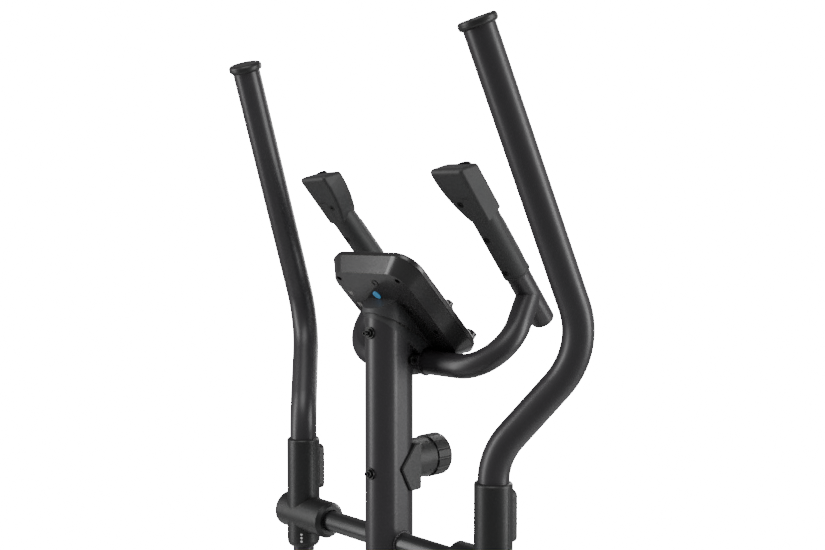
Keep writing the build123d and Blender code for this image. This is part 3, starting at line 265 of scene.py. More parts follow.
@dataclass(frozen=True)
class Moulding(Finish):
    """Spark-eroded plastic: small rounded pits all over."""

    def relief(self, tree: bpy.types.NodeTree, where: Socket) -> Socket:
        """Cell-shaped pits."""
        pits = add_node(
            tree, "ShaderNodeTexVoronoi", {}, {"Vector": where, "Scale": self.grain}, "Distance"
        )
        return pits * 0.8 + self.noise(tree, where, self.grain * 2, 2.0) * 0.2


@dataclass(frozen=True)
class Brushed(Finish):
    """Metal with fine lines drawn along one axis."""

    def relief(self, tree: bpy.types.NodeTree, where: Socket) -> Socket:
        """Long thin streaks."""
        return self.noise(tree, where, self.grain, 4.0)


@dataclass(frozen=True)
class Window(Finish):
    """Smoked clear plastic."""

    alpha: float = 0.45

    def surface(self, tree: bpy.types.NodeTree) -> dict[Any, Any]:
        """The common inputs with see-through alpha."""
        return {**super().surface(tree), "Alpha": self.alpha}


FRAME_PAINT = PowderCoat("frame_paint_fine", (0.027, 0.025, 0.028), 0.38, bump=0.10, dust=0.004)
AXLE_PAINT = PowderCoat("axle_paint_fine", (0.020, 0.020, 0.021), 0.30, bump=0.05)
COVER = Moulding("cover_plastic_fine", (0.011, 0.011, 0.0115), 0.42, grain=1500.0, bump=0.16, dust=0.004)
BRACKET = Moulding("bracket_plastic_fine", (0.040, 0.040, 0.042), 0.52, grain=1500.0, bump=0.16)
CONSOLE = Moulding("console_plastic_fine", (0.024, 0.023, 0.024), 0.24, grain=2400.0, bump=0.03, smudge=0.04)
# Dark console plastic for the battery door and back fittings. On the seam bead the same dark colour is
# painted shade of the gap between the console's shells.
CONSOLE_BACK_AND_SEAM_SHADE = Moulding("console_back_fine", (0.012, 0.012, 0.012), 0.40, grain=1800.0, bump=0.10)
GRIP = Moulding("grip_plastic_fine", (0.022, 0.022, 0.023), 0.55, grain=1300.0, bump=0.22)
BLUE = Finish("plug_blue_fine", (0.10, 0.42, 0.78), 0.35, uneven=0.06, bump=0.04)
MARK = Finish("mark_white_fine", (0.72, 0.72, 0.71), 0.45, uneven=0.03, bump=0.05)
RUBBER = Moulding("rubber_fine", (0.018, 0.018, 0.018), 0.78, grain=1100.0, bump=0.25, dust=0.02)
TREAD = Moulding("tread_fine", (0.026, 0.026, 0.027), 0.72, grain=900.0, bump=0.30, dust=0.03)
BLACK_STEEL = Finish("black_oxide_fine", (0.016, 0.016, 0.016), 0.32, metallic=0.6, bump=0.05)
STEEL = Brushed("steel_fine", (0.56, 0.56, 0.57), 0.28, metallic=1.0, stretch=(1, 12, 1), bump=0.05)
PULSE = Brushed("pulse_steel_fine", (0.66, 0.66, 0.67), 0.20, metallic=1.0, stretch=(12, 1, 1), bump=0.03)
IRON = Finish("iron_fine", (0.16, 0.16, 0.165), 0.42, metallic=0.9, grain=500.0, bump=0.2)
NYLON = Finish("nylon_fine", (0.50, 0.50, 0.48), 0.55, bump=0.05)
LENS = Window("lens_fine", (0.02, 0.022, 0.022), 0.06, bump=0.0, smudge=0.02, coat=0.4, alpha=0.35)
DISPLAY = Finish("display_fine", (0.30, 0.34, 0.29), 0.35, uneven=0.04, bump=0.0)
SEGMENT = Finish("segment_fine", (0.02, 0.025, 0.02), 0.4, uneven=0.02, bump=0.0)
FLOOR = Finish("floor_pale", (0.82, 0.82, 0.82), 0.7, uneven=0.01, bump=0.02, grain=120.0)

NODE_FINISHES: dict[str, Finish] = {
    "main_frame": FRAME_PAINT,
    "mast": FRAME_PAINT,
    "mast_collar": COVER,
    "front_stabiliser": FRAME_PAINT,
    "rear_stabiliser": FRAME_PAINT,
    "front_feet": COVER,
    "rear_feet": COVER,
    "levelling_feet": RUBBER,
    "frame_bolts": BLACK_STEEL,
    "shroud_screws": BLACK_STEEL,
    "pivot_axle": AXLE_PAINT,
    "crank_bearings": STEEL,
    "drive_belt": RUBBER,
    "tension_cable": RUBBER,
    "tension_base": COVER,
    "mast_bolts": BLACK_STEEL,
    "console_bracket": BRACKET,
    "console_back": CONSOLE,
    "console_front": CONSOLE,
    "console_lens": LENS,
    "battery_door": CONSOLE_BACK_AND_SEAM_SHADE,
    "console_plug": BLUE,
    "fixed_handlebar": FRAME_PAINT,
    "grip_shells_front": GRIP,
    "grip_shells_user": GRIP,
    "pulse_plates": PULSE,
    "grip_screws": BLACK_STEEL,
    "handlebar_plugs": COVER,
    "crank_axle": STEEL,
    "drive_pulley": NYLON,
    "crank_nuts": BLACK_STEEL,
    "flywheel": IRON,
    "flywheel_axle": STEEL,
    "magnet_arm": STEEL,
    "tension_knob": COVER,
    "console_button": CONSOLE,
}
SIDE_FINISHES: dict[str, Finish] = {
    "shroud": COVER,
    "crank_arm": FRAME_PAINT,
    "pedal_rail": FRAME_PAINT,
    "pedal": COVER,
    "pedal_pad": TREAD,
    "swing_arm": FRAME_PAINT,
    "arm_bushes": NYLON,
    "handle": FRAME_PAINT,
    "handle_cap": COVER,
    "hub_cover_front": COVER,
    "hub_cover_user": COVER,
    "transport_wheel": TREAD,
}


def dress_cad_nodes() -> None:
    """Gives every carried-over node its finish."""
    finishes = dict(NODE_FINISHES)
    for side in Side:
        finishes.update({f"{name}_{side.word}": finish for name, finish in SIDE_FINISHES.items()})
    for name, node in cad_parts.items():
        for slot in node.material_slots:
            slot.material = finishes[name].material()
        LOG.info("%s wears %s", name, finishes[name].name)


# ---------------------------------------------------------------- workbench


@dataclass
class Piece:
    """One new piece on the bench: a mesh that is shaped in edit mode and then fixed in place."""

    name: str
    finish: Finish
    body: str
    slot: str
    angle: float = 35.0
    object: Any = field(default=None, init=False)

    def start(self, kind: str, **sizes: Any) -> "Piece":
        """Adds the primitive that the piece starts from.

        Args:
            kind: The primitive's name, as bpy.ops.mesh spells it.
            sizes: What the operator takes.

        Returns:
            This piece.
        """
        bpy.ops.object.select_all(action="DESELECT")
        getattr(bpy.ops.mesh, f"primitive_{kind}_add")(**sizes)
        self.object = bpy.context.object
        self.object.name = self.name
        return self

    def choose(self, pick: Pick, test: Callable[[Vector, Vector], bool]) -> None:
        """Selects faces, edges or points by their middle and normal, and opens edit mode.

        Args:
            pick: What to select.
            test: Given the middle and the normal, in the piece's own space, says yes or no.
        """
        if bpy.context.mode != "OBJECT":
            bpy.ops.object.mode_set(mode="OBJECT")
        mesh = self.object.data
        bpy.context.tool_settings.mesh_select_mode = [pick is choice for choice in Pick]
        for group in (mesh.vertices, mesh.edges, mesh.polygons):
            group.foreach_set("select", [False] * len(group))
        if pick is Pick.FACE:
            for face in mesh.polygons:
                face.select = test(face.center, face.normal)
        elif pick is Pick.EDGE:
            for edge in mesh.edges:
                ends = [mesh.vertices[v].co for v in edge.vertices]
                edge.select = test((ends[0] + ends[1]) / 2, (ends[1] - ends[0]).normalized())
        else:
            for point in mesh.vertices:
                point.select = test(point.co, point.normal)
        bpy.ops.object.mode_set(mode="EDIT")

    def inset(self, thickness: float, depth: float = 0.0) -> None:
        """Insets the chosen faces, and pushes them in or out by depth."""
        bpy.ops.mesh.inset(thickness=thickness, depth=depth)

    def bevel(self, width: float, segments: int = 2) -> None:
        """Rounds the chosen edges."""
        bpy.ops.mesh.bevel(offset=width, segments=segments, affect="EDGES")

    def round_all(self, width: float, segments: int = 2, sharp: float = 30.0) -> None:
        """Rounds every sharp edge."""
        if bpy.context.mode != "OBJECT":
            bpy.ops.object.mode_set(mode="OBJECT")
        bpy.ops.object.mode_set(mode="EDIT")
        bpy.ops.mesh.select_mode(type="EDGE")
        bpy.ops.mesh.select_all(action="DESELECT")
        bpy.ops.mesh.edges_select_sharp(sharpness=math.radians(sharp))
        self.bevel(width, segments)

    def place(self, where: Matrix) -> bpy.types.Object:
        """Fixes the piece in place, smooths it, dresses it and lets it ride.

        Args:
            where: The frame that the piece was drawn in.

        Returns:
            The finished object, at the origin.
        """
        if bpy.context.mode != "OBJECT":
            bpy.ops.object.mode_set(mode="OBJECT")
        bpy.ops.object.select_all(action="DESELECT")
        self.object.select_set(True)
        bpy.context.view_layer.objects.active = self.object
        self.object.matrix_world = where @ self.object.matrix_world
        bpy.ops.object.transform_apply(location=True, rotation=True, scale=True)
        bpy.ops.object.shade_smooth_by_angle(angle=math.radians(self.angle))
        self.object.data.materials.clear()
        self.object.data.materials.append(self.finish.material())
        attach(self.object, self.body)
        LOG.info("made %s on %s", self.name, self.body)
        return self.object


def frame_at(origin: Vector, out: Vector, along: Vector) -> Matrix:
    """A frame whose +Z is out and whose +Y lies along, as nearly as it can.

    Args:
        origin: The frame's origin.
        out: Where +Z points.
        along: Roughly where +Y points.

    Returns:
        The frame as a matrix.
    """
    z_axis = out.normalized()
    y_axis = (along - z_axis * along.dot(z_axis)).normalized()
    x_axis = y_axis.cross(z_axis)
    return Matrix.Translation(origin) @ Matrix((x_axis, y_axis, z_axis)).transposed().to_4x4()

def spot(x: float, y: float, z: float) -> Vector:
    """A place given in millimetres from the middle of the swing axle."""
    return AXLE + Vector((x, y, z)) / 1000


@dataclass
class SubAssembly:
    """What every sub-assembly shares: its body, its tag and the small shapes it is dressed with."""

    body: str
    tag: str = ""

    def title(self, word: str) -> str:
        """The piece's name, with this sub-assembly's tag."""
        return f"{word}_{self.tag}" if self.tag else word

    def disc(
        self,
        word: str,
        finish: Finish,
        slot: str,
        where: Matrix,
        radius: float,
        height: float,
        lip: float,
        dish: float = -0.0008,
        sides: int = 64,
    ) -> bpy.types.Object:
        """A round cap with a rounded rim and a dished middle.

        Args:
            word: What the piece is.
            finish: Its finish.
            slot: The record's material slot; kept on the piece and not used.
            where: Its frame; it stands out along +Z.
            radius: Its radius.
            height: How far it stands out.
            lip: The width of the rim round the dish.
            dish: How far the middle is pushed out, or in when negative.
            sides: Faces round it.

        Returns:
            The finished piece.
        """
        piece = Piece(self.title(word), finish, self.body, slot)
        piece.start("cylinder", vertices=sides, radius=radius, depth=height, location=(0, 0, height / 2))
        piece.choose(Pick.FACE, lambda middle, normal: normal.z > FACING)
        piece.inset(lip)
        piece.inset(abs(dish) * 0.6, dish)
        piece.choose(
            Pick.EDGE, lambda middle, run: middle.z > height / 2 and middle.xy.length > radius * RIM_SHARE
        )
        piece.bevel(min(0.0006, height / 3), 2)
        return piece.place(where)

    def screw(self, word: str, slot: str, where: Matrix, radius: float, height: float) -> bpy.types.Object:
        """A round screw head with a hexagon socket.

        Args:
            word: What the piece is.
            slot: The record's material slot; kept on the piece and not used.
            where: Its frame; the head stands out along +Z.
            radius: The head's radius.
            height: The head's height.

        Returns:
            The finished piece.
        """
        piece = Piece(self.title(word), BLACK_STEEL, self.body, slot)
        piece.start("cylinder", vertices=24, radius=radius, depth=height, location=(0, 0, height / 2))
        piece.choose(Pick.FACE, lambda middle, normal: normal.z > FACING)
        piece.inset(radius * 0.52)
        piece.inset(0.0001, -height * 0.6)
        piece.choose(
            Pick.EDGE, lambda middle, run: middle.z > height * 0.9 and middle.xy.length > radius * RIM_SHARE
        )
        piece.bevel(min(0.0008, height / 3), 3)
        return piece.place(where)

    def bar(
        self,
        word: str,
        finish: Finish,
        slot: str,
        where: Matrix,
        size: tuple[float, float, float],
        soft: float,
    ) -> bpy.types.Object:
        """A straight rib with rounded edges, standing on the frame's XY plane.

        Args:
            word: What the piece is.
            finish: Its finish.
            slot: The record's material slot; kept on the piece and not used.
            where: Its frame.
            size: Its width, length and height.
            soft: How far its edges are rounded.

        Returns:
            The finished piece.
        """
        piece = Piece(self.title(word), finish, self.body, slot)
        piece.start("cube", size=1.0, location=(0, 0, size[2] / 2), scale=size)
        bpy.ops.object.transform_apply(location=False, rotation=False, scale=True)
        piece.round_all(soft, 3)
        return piece.place(where)

    def ring(
        self, word: str, finish: Finish, slot: str, where: Matrix, radius: float, width: float, height: float
    ) -> bpy.types.Object:
        """A flat ring with rounded edges.

        Args:
            word: What the piece is.
            finish: Its finish.
            slot: The record's material slot; kept on the piece and not used.
            where: Its frame; it stands out along +Z.
            radius: Its outer radius.
            width: How wide its band is.
            height: How far it stands out.

        Returns:
            The finished piece.
        """
        piece = Piece(self.title(word), finish, self.body, slot)
        piece.start("cylinder", vertices=96, radius=radius, depth=height, location=(0, 0, height / 2))
        piece.choose(Pick.FACE, lambda middle, normal: abs(normal.z) > FACING)
        piece.inset(width)
        bpy.ops.mesh.bridge_edge_loops()
        piece.round_all(min(width, height) * 0.3, 3)
        return piece.place(where)

    def weld(self, word: str, where: Matrix, radius: float, bead: float, sides: int = 72) -> bpy.types.Object:
        """A rippled weld bead round a tube.

        Args:
            word: What the piece is.
            where: Its frame; the tube runs along +Z.
            radius: The tube's radius.
            bead: The bead's own radius.
            sides: Steps round it.

        Returns:
            The finished piece.
        """
        piece = Piece(self.title(word), FRAME_PAINT, self.body, "frame_paint", 70.0)
        piece.start(
            "torus", major_radius=radius, minor_radius=bead, major_segments=sides, minor_segments=12
        )
        step = math.tau / sides
        piece.choose(
            Pick.VERT, lambda place, normal: round(math.atan2(place.y, place.x) / step) % 3 == 0
        )
        bpy.ops.transform.shrink_fatten(value=bead * 0.35)
        return piece.place(where)


@dataclass
class HubCovers(SubAssembly):
    """The plastic covers round one end of the swing axle."""

    side: Side = Side.LEFT
    radius: float = 23.25
    reach: float = 36.0
    pad_face: float = 27.25
    pad_screws: tuple[float, float] = (13.0, 51.0)
    mark: tuple[float, float] = (-44.0, -31.0)
    mark_reach: float = 22.9

    def build(self) -> None:
        """Makes the end cap, the seam lips and the pad's screws."""
        sign, x = self.side.value, self.side.value * ARM_X
        out = Vector((sign, 0, 0))
        up = Vector((0, 0, 1))
        end = frame_at(spot(x + sign * self.reach, 0, 0), out, up)
        self.disc("hub_end_cap", COVER, "cover_plastic", end, 0.0185, 0.0018, 0.0035)
        self.ring("hub_end_ring", COVER, "cover_plastic", end, 0.0215, 0.0014, 0.0010)
        for word, edge in (("inner", -1), ("outer", 1)):
            where = frame_at(spot(x + edge * (self.radius - 0.5), 0, 65), Vector((edge, 0, 0)), up)
            self.bar(f"hub_seam_{word}", COVER, "cover_plastic", where, (0.0007, 0.076, 0.0008), 0.0002)
        along = frame_at(spot(x - sign * 40, 0, 24.6), up, out)
        self.bar("hub_branch_seam", COVER, "cover_plastic", along, (0.0007, 0.030, 0.0008), 0.0002)
        for number, z in enumerate(self.pad_screws, 1):
            where = frame_at(spot(x, self.pad_face, z), Vector((0, 1, 0)), up)
            self.screw(f"hub_pad_screw_{number}", "black_steel", where, 0.0042, 0.0014)
        if self.side is Side.RIGHT:
            self.pips(x)

    def pips(self, x: float) -> None:
        """A plain mark of three raised dots on the front of the right cover.

        Args:
            x: The cover's middle, in millimetres from the machine's middle.
        """
        angle, z = math.radians(self.mark[0]), self.mark[1]
        out = Vector((math.sin(-angle), -math.cos(angle), 0))
        for number, drop in enumerate((-5.0, 0.0, 5.0), 1):
            place = spot(x + out.x * self.mark_reach, out.y * self.mark_reach, z + drop)
            where = frame_at(place, out, Vector((0, 0, 1)))
            self.disc(f"hub_pip_{number}", MARK, "cover_plastic", where, 0.0016, 0.0008, 0.0005, 0.0002, 24)


@dataclass
class MastHead(SubAssembly):
    """Weld beads where the axle and the handlebar meet the mast."""

    half: float = 25.0
    bar_at: tuple[float, float] = (50.0, 230.0)
    saddle_half: float = 19.0

    def build(self) -> None:
        """Runs a bead round each joint."""
        for side in Side:
            out = Vector((side.value, 0, 0))
            up = Vector((0, 0, 1))
            axle = frame_at(spot(side.value * self.half, 0, 0), out, up)
            self.weld(f"axle_weld_{side.word}", axle, 0.0146, 0.0017)
            bar = frame_at(spot(side.value * self.saddle_half, *self.bar_at), out, up)
            self.weld(f"bar_weld_{side.word}", bar, 0.0165, 0.0015)


@dataclass
class ConsoleTrim(SubAssembly):
    """The dark seam bead (painted shade of the gap between the shells), display, keys and back fittings of
    the console.
    """

    origin: tuple[float, float, float] = (0.0, 10.4, 293.2)
    outline: tuple[float, float, float] = (159.0, 184.0, 32.0)
    back_depth: float = 20.0
    face: float = 28.0
    screen: tuple[float, float, float, float] = (0.0, -14.0, 104.0, 72.0)
    key_row: float = 40.0
    keys: tuple[float, ...] = (-45.0, -15.0, 15.0, 45.0)
    button: tuple[float, float] = (68.5, 9.0)
    vents: tuple[tuple[float, float], ...] = ((-56.0, -38.0), (-56.0, -16.0))
    holes: tuple[tuple[float, float], ...] = ((-55.0, -67.5), (55.0, -67.5), (-55.0, 28.0), (55.0, 28.0))
    door: tuple[float, float, float] = (37.0, 22.0, 88.0)
    socket: tuple[float, float] = (10.0, -62.0)
    bars: tuple[float, ...] = (6.0, 10.0, 14.0, 20.0, 26.0, 22.0, 16.0, 20.0, 26.0, 18.0, 12.0, 8.0)

    def front(self, x: float, y: float, height: float) -> Matrix:
        """A frame on the console's slope, facing the user; +Y runs down the slope."""
        normal = Vector((0, 1, 1)).normalized()
        down = Vector((0, 1, -1)).normalized()
        place = spot(*self.origin) + (Vector((1, 0, 0)) * x + down * y + normal * height) / 1000
        return frame_at(place, normal, down)

    def back(self, x: float, y: float, height: float) -> Matrix:
        """A frame on the console's back, facing the floor."""
        normal = Vector((0, -1, -1)).normalized()
        down = Vector((0, 1, -1)).normalized()
        place = spot(*self.origin) + (Vector((1, 0, 0)) * x + down * y + normal * height) / 1000
        return frame_at(place, normal, down)

    def seam(self) -> None:
        """A dark bead between the tub and the front: painted shade standing in for the gap between the two
        shells.
        """
        width, length, corner = (value / 1000 for value in self.outline)
        # The bead's dark colour is painted shade of the seam's gap, not a dark part of the console.
        piece = Piece(self.title("console_seam"), CONSOLE_BACK_AND_SEAM_SHADE, self.body, "console_plastic")
        piece.start("cube", size=1.0, scale=(width + 0.0007, length + 0.0007, 0.0009))
        bpy.ops.object.transform_apply(location=False, rotation=False, scale=True)
        piece.choose(Pick.EDGE, lambda middle, run: abs(run.z) > 0.9)
        piece.bevel(corner, 14)
        piece.choose(Pick.FACE, lambda middle, normal: abs(normal.z) > FACING)
        piece.inset(0.002)
        bpy.ops.mesh.bridge_edge_loops()
        piece.place(self.front(0, 0, self.back_depth))

    def display(self) -> None:
        """The pale screen behind the window, with its frame and its row of bars."""
        x, y, width, length = self.screen
        low = self.face - 2.95
        size = ((width - 14) / 1000, (length - 16) / 1000, 0.0004)
        self.bar("display_panel", DISPLAY, "screen_glass", self.front(x, y, low), size, 0.0001)
        for number, height in enumerate(self.bars):
            where = self.front(x - 36 + number * 6.5, y + 20 - height / 2, low + 0.4)
            size = (0.0046, height / 1000, 0.0003)
            self.bar(f"display_bar_{number + 1}", SEGMENT, "screen_glass", where, size, 0.0001)
        for number in range(4):
            where = self.front(x - 33 + number * 22, y - 20, low + 0.4)
            size = (0.016, 0.0018, 0.0003)
            self.bar(f"display_rule_{number + 1}", SEGMENT, "screen_glass", where, size, 0.0001)

    def controls(self) -> None:
        """The keys below the screen, the ring of the button and the speaker's slots."""
        for number, x in enumerate(self.keys, 1):
            where = self.front(x, self.key_row, self.face - SINK)
            self.bar(f"console_key_{number}", GRIP, "console_plastic", where, (0.021, 0.010, 0.0022), 0.0008)
            line = self.front(x, self.key_row, self.face + 1.9)
            self.bar(
                f"console_key_mark_{number}", MARK, "console_plastic", line, (0.006, 0.0012, 0.0003), 0.0001
            )
        ring = self.front(*self.button, self.face - 0.1)
        self.ring("button_ring", CONSOLE_BACK_AND_SEAM_SHADE, "console_plastic", ring, 0.0092, 0.0024, 0.0010)
        for number in range(5):
            where = self.front(-18 + number * 9, 54, self.face - SINK)
            self.bar(
                f"speaker_rib_{number + 1}", CONSOLE_BACK_AND_SEAM_SHADE, "console_plastic", where,
                (0.003, 0.008, 0.0008), 0.0003
            )

    def rear(self) -> None:
        """The vents, screws, socket and door ridges on the console's back."""
        for number, (x, y) in enumerate(self.vents, 1):
            where = self.back(x, y, -1.6)
            self.bar(f"vent_insert_{number}", NYLON, "bush_plastic", where, (0.0094, 0.0084, 0.0008), 0.0002)
            for rib, shift in enumerate((-2.4, 0.0, 2.4), 1):
                slat = self.back(x, y + shift, -1.0)
                word = f"vent_slat_{number}_{rib}"
                self.bar(word, CONSOLE_BACK_AND_SEAM_SHADE, "console_plastic", slat, (0.0098, 0.0008, 0.0009), 0.0002)
        for number, (x, y) in enumerate(self.holes, 1):
            self.screw(f"console_screw_{number}", "black_steel", self.back(x, y, -7.0), 0.0034, 0.0022)
        where = self.back(*self.socket, -0.2)
        self.ring("console_socket", CONSOLE_BACK_AND_SEAM_SHADE, "console_plastic", where, 0.0052, 0.0016, 0.0010)
        self.disc(
            "console_socket_floor", BLACK_STEEL, "black_steel", where, 0.0037, 0.0004, 0.0008, -0.0002, 32
        )
        x, y, length = self.door
        for number in range(4):
            ridge = self.back(x, y - length / 2 + 8 + number * 2.6, -0.1)
            self.bar(
                f"door_ridge_{number + 1}", CONSOLE_BACK_AND_SEAM_SHADE, "console_plastic", ridge,
                (0.011, 0.0011, 0.0008), 0.0003
            )

    def build(self) -> None:
        """Makes all of the console's trim."""
        self.seam()
        self.display()
        self.controls()
        self.rear()


@dataclass
class Grips(SubAssembly):
    """Collars and seam lips of one pulse grip."""

    side: Side = Side.LEFT
    low: tuple[float, float, float] = (127.3, 155.7, 289.2)
    high: tuple[float, float, float] = (134.0, -10.1, 475.7)
    radius: float = 17.8
    start: float = 84.0
    head: float = 74.0

    def along(self, distance: float) -> tuple[Vector, Vector]:
        """A point on the grip's middle line, and the line's direction."""
        bottom = Vector((self.side.value * self.low[0], *self.low[1:]))
        top = Vector((self.side.value * self.high[0], *self.high[1:]))
        run = (top - bottom).normalized()
        return spot(*(bottom + run * distance)), run

    def build(self) -> None:
        """Makes the lower collar and the lips along the seam."""
        place, run = self.along(self.start - 1.5)
        leftward = (Vector((1, 0, 0)) - run * run.x).normalized()
        self.ring("grip_collar", GRIP, "grip_plastic", frame_at(place, run, leftward), 0.0183, 0.0021, 0.0034)
        place, run = self.along(self.start + 42.0)
        for word, edge in (("left", 1), ("right", -1)):
            out = leftward * edge
            where = frame_at(place + out * (self.radius - 0.5) / 1000, out, run)
            self.bar(f"grip_seam_{word}_side", GRIP, "grip_plastic", where, (0.0006, 0.070, 0.0007), 0.0002)


@dataclass
class TensionDial(SubAssembly):
    """The face and pointer of the tension knob."""

    face: tuple[float, float, float] = (0.0, 91.6, 100.0)
    reach: float = 12.0

    def build(self) -> None:
        """Makes the dished face and the pointer."""
        out, up = Vector((0, 1, 0)), Vector((0, 0, 1))
        self.disc(
            "knob_face", COVER, "cover_plastic", frame_at(spot(*self.face), out, up), 0.0215, 0.0010, 0.003
        )
        x, y, z = self.face
        where = frame_at(spot(x, y + 0.6, z + self.reach), out, up)
        self.bar("knob_pointer", MARK, "cover_plastic", where, (0.0022, 0.012, 0.0010), 0.0003)


@dataclass
class TensionScale(SubAssembly):
    """The raised marks round the knob's fixed base."""

    radius: float = 26.5
    place: tuple[float, float] = (56.0, 100.0)
    marks: int = 9
    sweep: float = 240.0

    def build(self) -> None:
        """Sets the marks evenly over the top of the drum."""
        for number in range(self.marks):
            turn = math.radians(-self.sweep / 2 + self.sweep / (self.marks - 1) * number)
            out = Vector((math.sin(turn), 0, math.cos(turn)))
            y, z = self.place
            reach = self.radius - SINK
            where = frame_at(spot(out.x * reach, y, z + out.z * reach), out, Vector((0, 1, 0)))
            self.bar(
                f"scale_mark_{number + 1}", COVER, "cover_plastic", where, (0.0012, 0.006, 0.0006), 0.0002
            )


@dataclass
class FootTray(SubAssembly):
    """Ribs and bolts of one foot tray."""

    side: Side = Side.LEFT
    joint_height: float = -630.0
    middle: float = 150.0
    half: float = 65.0
    floor: float = 33.0
    tilt: float = 12.23
    rib_rows: tuple[float, ...] = (345.0, 390.0, 435.0, 480.0, 525.0, 570.0)
    bolts: tuple[tuple[float, float], ...] = ((-34.0, 372.0), (34.0, 372.0), (-34.0, 548.0), (34.0, 548.0))
    housing: tuple[float, float] = (112.0, 19.0)

    def on_rail(self) -> Matrix:
        """The rail's own frame: +Y runs back along the rail from its front joint."""
        turn = Matrix.Rotation(math.radians(self.side.value * self.tilt), 4, "X")
        return Matrix.Translation(spot(0, 0, self.joint_height)) @ turn

    def local(self, x: float, y: float, z: float, out: Vector, along: Vector) -> Matrix:
        """A frame given in millimetres on the rail."""
        return self.on_rail() @ frame_at(Vector((x, y, z)) / 1000, out, along)

    def build(self) -> None:
        """Makes the ribs, the bolts and the cap of the front housing."""
        sign = self.side.value
        up, back = Vector((0, 0, 1)), Vector((0, 1, 0))
        for edge in (-1, 1):
            word = "inner" if edge * sign < 0 else "outer"
            x = sign * self.middle + edge * (self.half - 0.3)
            for number, y in enumerate(self.rib_rows, 1):
                where = self.local(x, y, 36, Vector((edge, 0, 0)), up)
                self.bar(
                    f"tray_rib_{word}_{number}", COVER, "cover_plastic", where, (0.005, 0.020, 0.0022), 0.0008
                )
        for number, (x, y) in enumerate(self.bolts, 1):
            where = self.local(sign * self.middle + x, y, self.floor - 0.4, up, back)
            self.screw(f"tray_bolt_{number}", "black_steel", where, 0.0065, 0.0024)
        x, radius = self.housing
        where = self.local(sign * x, 0, 0, Vector((-sign, 0, 0)), up)
        self.disc("rail_end_cap", COVER, "cover_plastic", where, radius / 1000, 0.0016, 0.003)


@dataclass
class DriveCover(SubAssembly):
    """Trim rings and louvres on one side of the drive's cover."""

    side: Side = Side.LEFT
    face: float = 48.0
    crank: tuple[float, float] = (600.0, -630.0)
    flywheel: tuple[float, float] = (425.0, -660.0)
    louvres: tuple[float, ...] = (-36.0, -24.0, -12.0, 0.0, 12.0, 24.0, 36.0)
    louvre_circle: float = 60.0

    def build(self) -> None:
        """Makes the ring round the crank, the ring round the flywheel and the louvres."""
        out, up = Vector((self.side.value, 0, 0)), Vector((0, 0, 1))
        x = self.side.value * (self.face - SINK)
        crank = frame_at(spot(x, *self.crank), out, up)
        self.ring("crank_trim", COVER, "cover_plastic", crank, 0.035, 0.0085, 0.0022)
        y, z = self.flywheel
        wheel = frame_at(spot(x, y, z), out, up)
        self.ring("flywheel_trim", COVER, "cover_plastic", wheel, 0.078, 0.004, 0.0018)
        for number, rise in enumerate(self.louvres, 1):
            length = 2 * (self.louvre_circle**2 - rise**2) ** 0.5 / 1000
            where = frame_at(spot(x, y, z + rise), out, Vector((0, 1, 0)))
            self.bar(f"louvre_{number}", COVER, "cover_plastic", where, (0.005, length, 0.0024), 0.0010)


@dataclass
class ArmFoot(SubAssembly):
    """The bolt that holds a rail to the foot of its arm."""

    side: Side = Side.LEFT
    reach: float = 206.0
    height: float = -630.0

    def build(self) -> None:
        """Makes the washer and the six-sided head."""
        out, up = Vector((self.side.value, 0, 0)), Vector((0, 0, 1))
        where = frame_at(spot(self.side.value * (self.reach - 0.1), 0, self.height), out, up)
        self.disc("arm_foot_washer", STEEL, "bright_metal", where, 0.0135, 0.0016, 0.004, -0.0003)
        where = frame_at(spot(self.side.value * (self.reach + 1.3), 0, self.height), out, up)
        self.disc("arm_foot_bolt", BLACK_STEEL, "black_steel", where, 0.0098, 0.0058, 0.003, -0.0010, 6)


@dataclass
class FloorFeet(SubAssembly):
    """Screws and grip ribs on the four stabiliser caps."""

    end: float = 300.0
    rows: tuple[float, ...] = (30.0, 42.0, 54.0)
    centre: float = 540.0
    top: float = 78.0

    def floor_spot(self, x: float, y: float, z: float) -> Vector:
        """A place in millimetres from the middle of the footprint."""
        return Vector((x, y, z)) / 1000

    def build(self) -> None:
        """Makes the ribs on each cap's end and the screw in its top."""
        up = Vector((0, 0, 1))
        for side in Side:
            for word, end in (("front", -1), ("rear", 1)):
                out = Vector((side.value, 0, 0))
                label = f"{word}_{side.word}"
                for number, z in enumerate(self.rows, 1):
                    place = self.floor_spot(side.value * (self.end - 0.3), end * (self.centre - 2), z)
                    where = frame_at(place, out, Vector((0, 1, 0)))
                    self.bar(
                        f"foot_rib_{label}_{number}", COVER, "cover_plastic", where,
                        (0.004, 0.046, 0.0018), 0.0007
                    )
                place = self.floor_spot(side.value * 222, end * self.centre, self.top - SINK)
                self.screw(f"foot_screw_{label}", "black_steel", frame_at(place, up, out), 0.0055, 0.0026)


@dataclass
class WheelCap(SubAssembly):
    """The hub rings of a transport wheel."""

    side: Side = Side.LEFT
    centre: tuple[float, float, float] = (270.0, -550.5, 27.0)
    half: float = 10.0

    def build(self) -> None:
        """Makes one ring on each face of the wheel."""
        x, y, z = self.centre
        for edge, word in ((-1, "inner"), (1, "outer")):
            out = Vector((edge, 0, 0))
            place = Vector((self.side.value * x + edge * (self.half - SINK), y, z)) / 1000
            where = frame_at(place, out, Vector((0, 0, 1)))
            self.ring(f"wheel_ring_{word}", STEEL, "bright_metal", where, 0.013, 0.007, 0.0010)


def dress_all() -> None:
    """Builds every sub-assembly's own pieces, in order."""
    MastHead("frame").build()
    ConsoleTrim("frame").build()
    TensionDial("knob").build()
    TensionScale("frame").build()
    FloorFeet("frame").build()
    for side in Side:
        word = side.word
        HubCovers(f"arm_{word}", word, side).build()
        Grips("frame", word, side).build()
        FootTray(f"rail_{word}", word, side).build()
        DriveCover("frame", word, side).build()
        ArmFoot(f"arm_{word}", word, side).build()
        WheelCap(f"wheel_{word}", word, side).build()


# ---------------------------------------------------------------- studio


